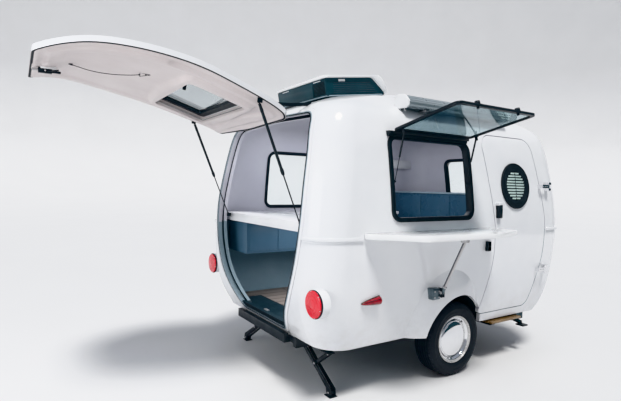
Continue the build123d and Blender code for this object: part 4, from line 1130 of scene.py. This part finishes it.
# ------------------------------------------------------------------ beads round the window frames
def frame_beads():
    b = Build()
    shell = skin_bvh("upper_shell")
    fr = skin_bvh("serve_frame")

    def y_at(x, z, side, bvhs):
        for t in bvhs:
            hit = t.ray_cast(W(x, side * 1400, z), Vector((0, -side, 0)))
            if hit[0] is not None:
                return hit[0].y * 1000
        return side * 1010.0

    for grow, r in ((14.0, 3.2), (-9.0, 3.4)):
        pts = resample2(rounded(-847 - grow, 69 + grow, 1400 - grow, 2033 + grow, 70 + grow, 8), 160)
        b.tube([(x, y_at(x, z, -1, (fr, shell)) - 1.0, z) for x, z in pts], r, 8, True, 0)
    b.make("serve_frame_beads", "body", ["rubber"])
    b = Build()
    fr2 = skin_bvh("fixed_window_frames")
    for grow, r in ((14.0, 3.2), (-9.0, 3.4)):
        pts = resample2(rounded(-860 - grow, 80 + grow, 1410 - grow, 2010 + grow, 70 + grow, 8), 160)
        b.tube([(x, y_at(x, z, 1, (fr2, shell)) + 1.0, z) for x, z in pts], r, 8, True, 0)
    b.make("left_frame_beads", "body", ["rubber"])
    # Seal along the rear opening's inner edge.
    b = Build()
    lower, jamb = skin_bvh("lower_shell"), skin_bvh("rear_jamb")
    pts = resample(shrink(resample(outline(REAR_FULL, 14), 220), 2.0), 220)
    path = []
    for p in pts:
        hit = jamb.ray_cast(W(-1800, p.x * 0.99, p.y), Vector((1, 0, 0)))
        x = (hit[0].x + 2.45) * 1000 if hit[0] is not None else None
        path.append((x, p.x, p.y))
    known = [q for q in path if q[0] is not None]
    path = [(q[0] if q[0] is not None else min(known, key=lambda w: abs(w[1] - q[1]) + abs(w[2] - q[2]))[0], q[1], q[2]) for q in path]
    b.tube([(x, y, z) for x, y, z in path], 3.0, 10, True, 0)
    b.make("rear_opening_seal", "body", ["rubber"])
    b = Build()
    rim = skin_bvh("rear_rim")
    pts = resample(outline(REAR_FULL, 14), 260)
    mid_p = sum(pts, Vector((0, 0))) / len(pts)
    rings = []
    for d in (1.5, 13.0, 14.0, 22.0):
        ring = []
        for i, q in enumerate(pts):
            t = (pts[(i + 1) % len(pts)] - pts[i - 1]).normalized()
            nrm = Vector((-t.y, t.x))
            if nrm.dot(mid_p - q) > 0:
                nrm = -nrm
            e = q + nrm * d
            hit = rim.ray_cast(W(-1800, e.x, e.y), Vector((1, 0, 0)))
            ring.append([(hit[0].x + 2.45) * 1000 if hit[0] is not None else None, e.x, e.y])
        good = [i for i, e in enumerate(ring) if e[0] is not None]
        for i, e in enumerate(ring):
            if e[0] is None:
                e[0] = ring[min(good, key=lambda g: min(abs(g - i), len(ring) - abs(g - i)))][0]
        rings.append(ring)
    # Rubber strip next to the opening, then a blue-grey strip on the rim: painted shade of the rim's side.
    for a, c, mat in ((0, 1, 0), (2, 3, 1)):
        verts, faces, n = [], [], len(pts)
        for i in range(n):
            (xa, ya, za), (xb, yb, zb) = rings[a][i], rings[c][i]
            verts += [Vector((xa - 1.6, ya, za)), Vector((xb - 1.6, yb, zb)), Vector((xb + 1.5, yb, zb)), Vector((xa + 1.5, ya, za))]
        for i in range(n):
            j = (i + 1) % n
            for k in range(4):
                q = (k + 1) % 4
                faces.append([i * 4 + k, i * 4 + q, j * 4 + q, j * 4 + k])
        b.add(verts, faces, mat)
    b.make("rear_rim_strip", "body", ["rubber", "rim_painted_shade"])


frame_beads()


# ------------------------------------------------------------------ inside
def cabin():
    b = Build()
    b.box(1000, 1330, 893, 897, 1905, 2015, 2, 0)
    b.make("wall_panel", "body", ["panel"])
    b = Build()
    # dark threshold behind the sill, striker on it
    b.box(-1338, -1085, -640, 640, 478.5, 492, 4, 0)
    b.box(-1378, -1352, -34, 34, 522, 532, 3, 1)
    b.cyl((-1366, -20, 532), (-1366, 20, 532), 5, 12, 1, 1)
    b.make("sill_striker", "body", ["mat", "zinc"])
    b = Build()
    # cabinet doors with handles along the left
    for x0, x1 in ((-1300, -980), (-970, -650), (-640, -320), (-310, 10), (20, 340), (350, 660)):
        b.box(x0, x1, 494, 499, 985, 1300, 3, 0)
        b.cyl(((x0 + x1) / 2 - 40, 488, 1262), ((x0 + x1) / 2 + 40, 488, 1262), 4, 10, 1, 1)
    b.make("cabinet_fronts", "body", ["navy", "zinc"])
    b = Build()
    for y0, y1 in ((-410, 20), (30, 460), (470, 900)):
        b.box(1074, 1079.5, y0, y1, 500, 1560, 3, 0)
        b.cyl((1068, y1 - 40, 1150), (1068, y1 - 40, 1290), 4.5, 10, 1, 1)
    b.box(1070, 1082, -420, 930, 1583, 1602, 3, 2)
    b.make("front_cabinet_doors", "body", ["navy2", "zinc", "slate"])


cabin()


# ------------------------------------------------------------------ flap rails
def flap():
    up = radians(12.5)
    m = Matrix.Translation((0, -978.0, 2064.0)) @ Matrix.Rotation(-up, 4, "X")
    b = Build()
    # wider bands inside the frame: hinge side, both ends and the free edge; local y runs out along the flap
    b.box(-828, 18, -62, -33, 5, 16, 2.5, 0, 2, m)
    b.box(-829, -802, -600, -36, 5, 16, 2.5, 0, 2, m)
    b.box(4, 19, -600, -36, 5, 16, 2.5, 0, 2, m)
    b.box(-828, 18, -602, -588, 5, 16, 2.5, 0, 2, m)
    for x in (-635.0, -180.0):
        b.lathe([(0, 0), (17, 0), (18.5, 3), (18.5, 16), (15, 21), (0, 22)], m @ Vector((x, -602, 18)), m.to_3x3() @ Vector((0, 0, 1)), 20, 0)
        b.box(x - 26, x + 26, -616, -586, 15, 22, 3, 0, 2, m)
    b.make("flap_rails", "flap", ["trim"])


flap()


# ------------------------------------------------------------------ hatch latch
def latch():
    b = Build()
    b.box(-3142, -3042, -20, 20, 2404, 2462, 8, 0, 3)
    b.box(-3154, -3070, -14, 14, 2376, 2411, 4, 1, 2)
    b.box(-3190, -3150, -8, 8, 2387, 2402, 3, 2, 2)
    b.box(-3074, -3016, -9, 9, 2383, 2399, 4, 1, 2)
    b.cyl((-3112, -18, 2392), (-3112, 18, 2392), 6, 14, 1, 2)
    b.beam((-3098, -26, 2386), (-3030, -34, 2400), 12, 8, 3, 1)
    b.box(-3180, -3060, -30, 30, 2440, 2466, 6, 0, 2)
    b.make("hatch_latch_detail", "hatch", ["shelf", "trim", "zinc"], ["hatch_latch"])


latch()


def window_trim():
    b = Build()
    fr = skin_bvh("hatch_window_frame")
    pts = resample2(rounded(-2264, -1795, -476, 476, 44, 8), 160)
    path, last = [], None
    for x, y in pts:
        hit = fr.ray_cast(W(x, y, 1900), Vector((0, 0, 1)))
        z = hit[0].z * 1000 + 437 if hit[0] is not None else last
        last = z
        path.append([x, y, z])
    first = next(q[2] for q in path if q[2] is not None)
    path = [(x, y, (z if z is not None else first) - 1.0) for x, y, z in path]
    b.tube(path, 3.0, 8, True, 0)
    b.make("hatch_window_line", "hatch", ["silver"])


window_trim()


# ------------------------------------------------------------------ stage and light
def stage():
    me = bpy.data.meshes.new("studio_floor")
    z = -0.437
    n, rows = 72, [(0, 0), (6, 0), (14, 0), (26, 0), (34, 0.6), (40, 2.6), (44, 6), (46, 13), (47, 42)]
    verts, faces = [], []
    for r, h in rows[1:]:
        verts += [(-2.5 + r * cos(2 * pi * i / n), r * sin(2 * pi * i / n), z + h) for i in range(n)]
    verts.append((-2.5, 0, z))
    c = len(verts) - 1
    faces += [[c, i, (i + 1) % n] for i in range(n)]
    for k in range(len(rows) - 2):
        a, b = k * n, (k + 1) * n
        faces += [[a + i, b + i, b + (i + 1) % n, a + (i + 1) % n] for i in range(n)]
    me.from_pydata(verts, [], faces)
    for p in me.polygons:
        p.use_smooth = True
    ob = bpy.data.objects.new("studio_floor", me)
    bpy.context.scene.collection.objects.link(ob)
    m = Nodes("studio_floor")
    me.materials.append(m.done(m.ramp(m.noise(0.4, 3), [(0.3, (0.66, 0.665, 0.675)), (0.7, (0.68, 0.685, 0.695))]), 0.9))
    sun = bpy.data.lights.new("key", "SUN")
    sun.energy = 3.0
    sun.angle = radians(14)
    sun.color = (1.0, 0.975, 0.94)
    so = bpy.data.objects.new("key", sun)
    bpy.context.scene.collection.objects.link(so)
    so.rotation_euler = Vector((0.16, 0.36, -0.92)).to_track_quat("-Z", "Y").to_euler()
    area = bpy.data.lights.new("cabin_soft", "AREA")
    area.shape = "RECTANGLE"
    area.size, area.size_y = 1.7, 1.1
    area.energy = 15.0
    area.color = (0.93, 0.95, 1.0)
    ao = bpy.data.objects.new("cabin_soft", area)
    bpy.context.scene.collection.objects.link(ao)
    ao.location = W(-150, 60, 2250)
    ao.visible_camera = False
    fill = bpy.data.lights.new("rear_soft", "AREA")
    fill.shape = "RECTANGLE"
    fill.size, fill.size_y = 3.5, 2.6
    fill.energy = 90.0
    fo = bpy.data.objects.new("rear_soft", fill)
    bpy.context.scene.collection.objects.link(fo)
    fo.location = W(-6200, -900, 2500)
    fo.rotation_euler = (W(-900, 0, 1100) - W(-6200, -900, 2500)).to_track_quat("-Z", "Y").to_euler()
    fo.visible_camera = False
    low = bpy.data.lights.new("under_counter_soft", "AREA")
    low.shape = "RECTANGLE"
    low.size, low.size_y = 1.3, 0.9
    low.energy = 9.0
    low.color = (0.90, 0.95, 1.0)
    wo = bpy.data.objects.new("under_counter_soft", low)
    bpy.context.scene.collection.objects.link(wo)
    wo.location = W(-560, -120, 1255)
    wo.visible_camera = False
    # dark cards out of view, so that the chrome and the gelcoat have something to mirror
    for x, y, tx, ty, wd, z0, z1 in ((3.3, -5.4, 0.61, 0.79, 9.0, 0.12, 4.6), (-0.6, -8.6, 1.0, 0.1, 4.0, 0.3, 2.2)):
        cm = bpy.data.meshes.new("dark_card")
        c, sn = tx * wd / 2, ty * wd / 2
        cm.from_pydata([(x - c, y - sn, z0), (x + c, y + sn, z0), (x + c, y + sn, z1), (x - c, y - sn, z1)], [], [(0, 1, 2, 3)])
        co_ = bpy.data.objects.new("dark_card", cm)
        bpy.context.scene.collection.objects.link(co_)
        cm.materials.append(MAT["ac"])
        co_.visible_camera = False
        co_.visible_diffuse = False
        co_.visible_shadow = False
    w = bpy.data.worlds.new("studio")
    bpy.context.scene.world = w
    w.use_nodes = True
    bg = w.node_tree.nodes["Background"]
    bg.inputs[0].default_value = (0.80, 0.87, 1.0, 1)
    bg.inputs[1].default_value = 0.44
    vs = bpy.context.scene.view_settings
    vs.view_transform = "Khronos PBR Neutral"
    vs.look = "None"
    vs.exposure = 0.0


stage()
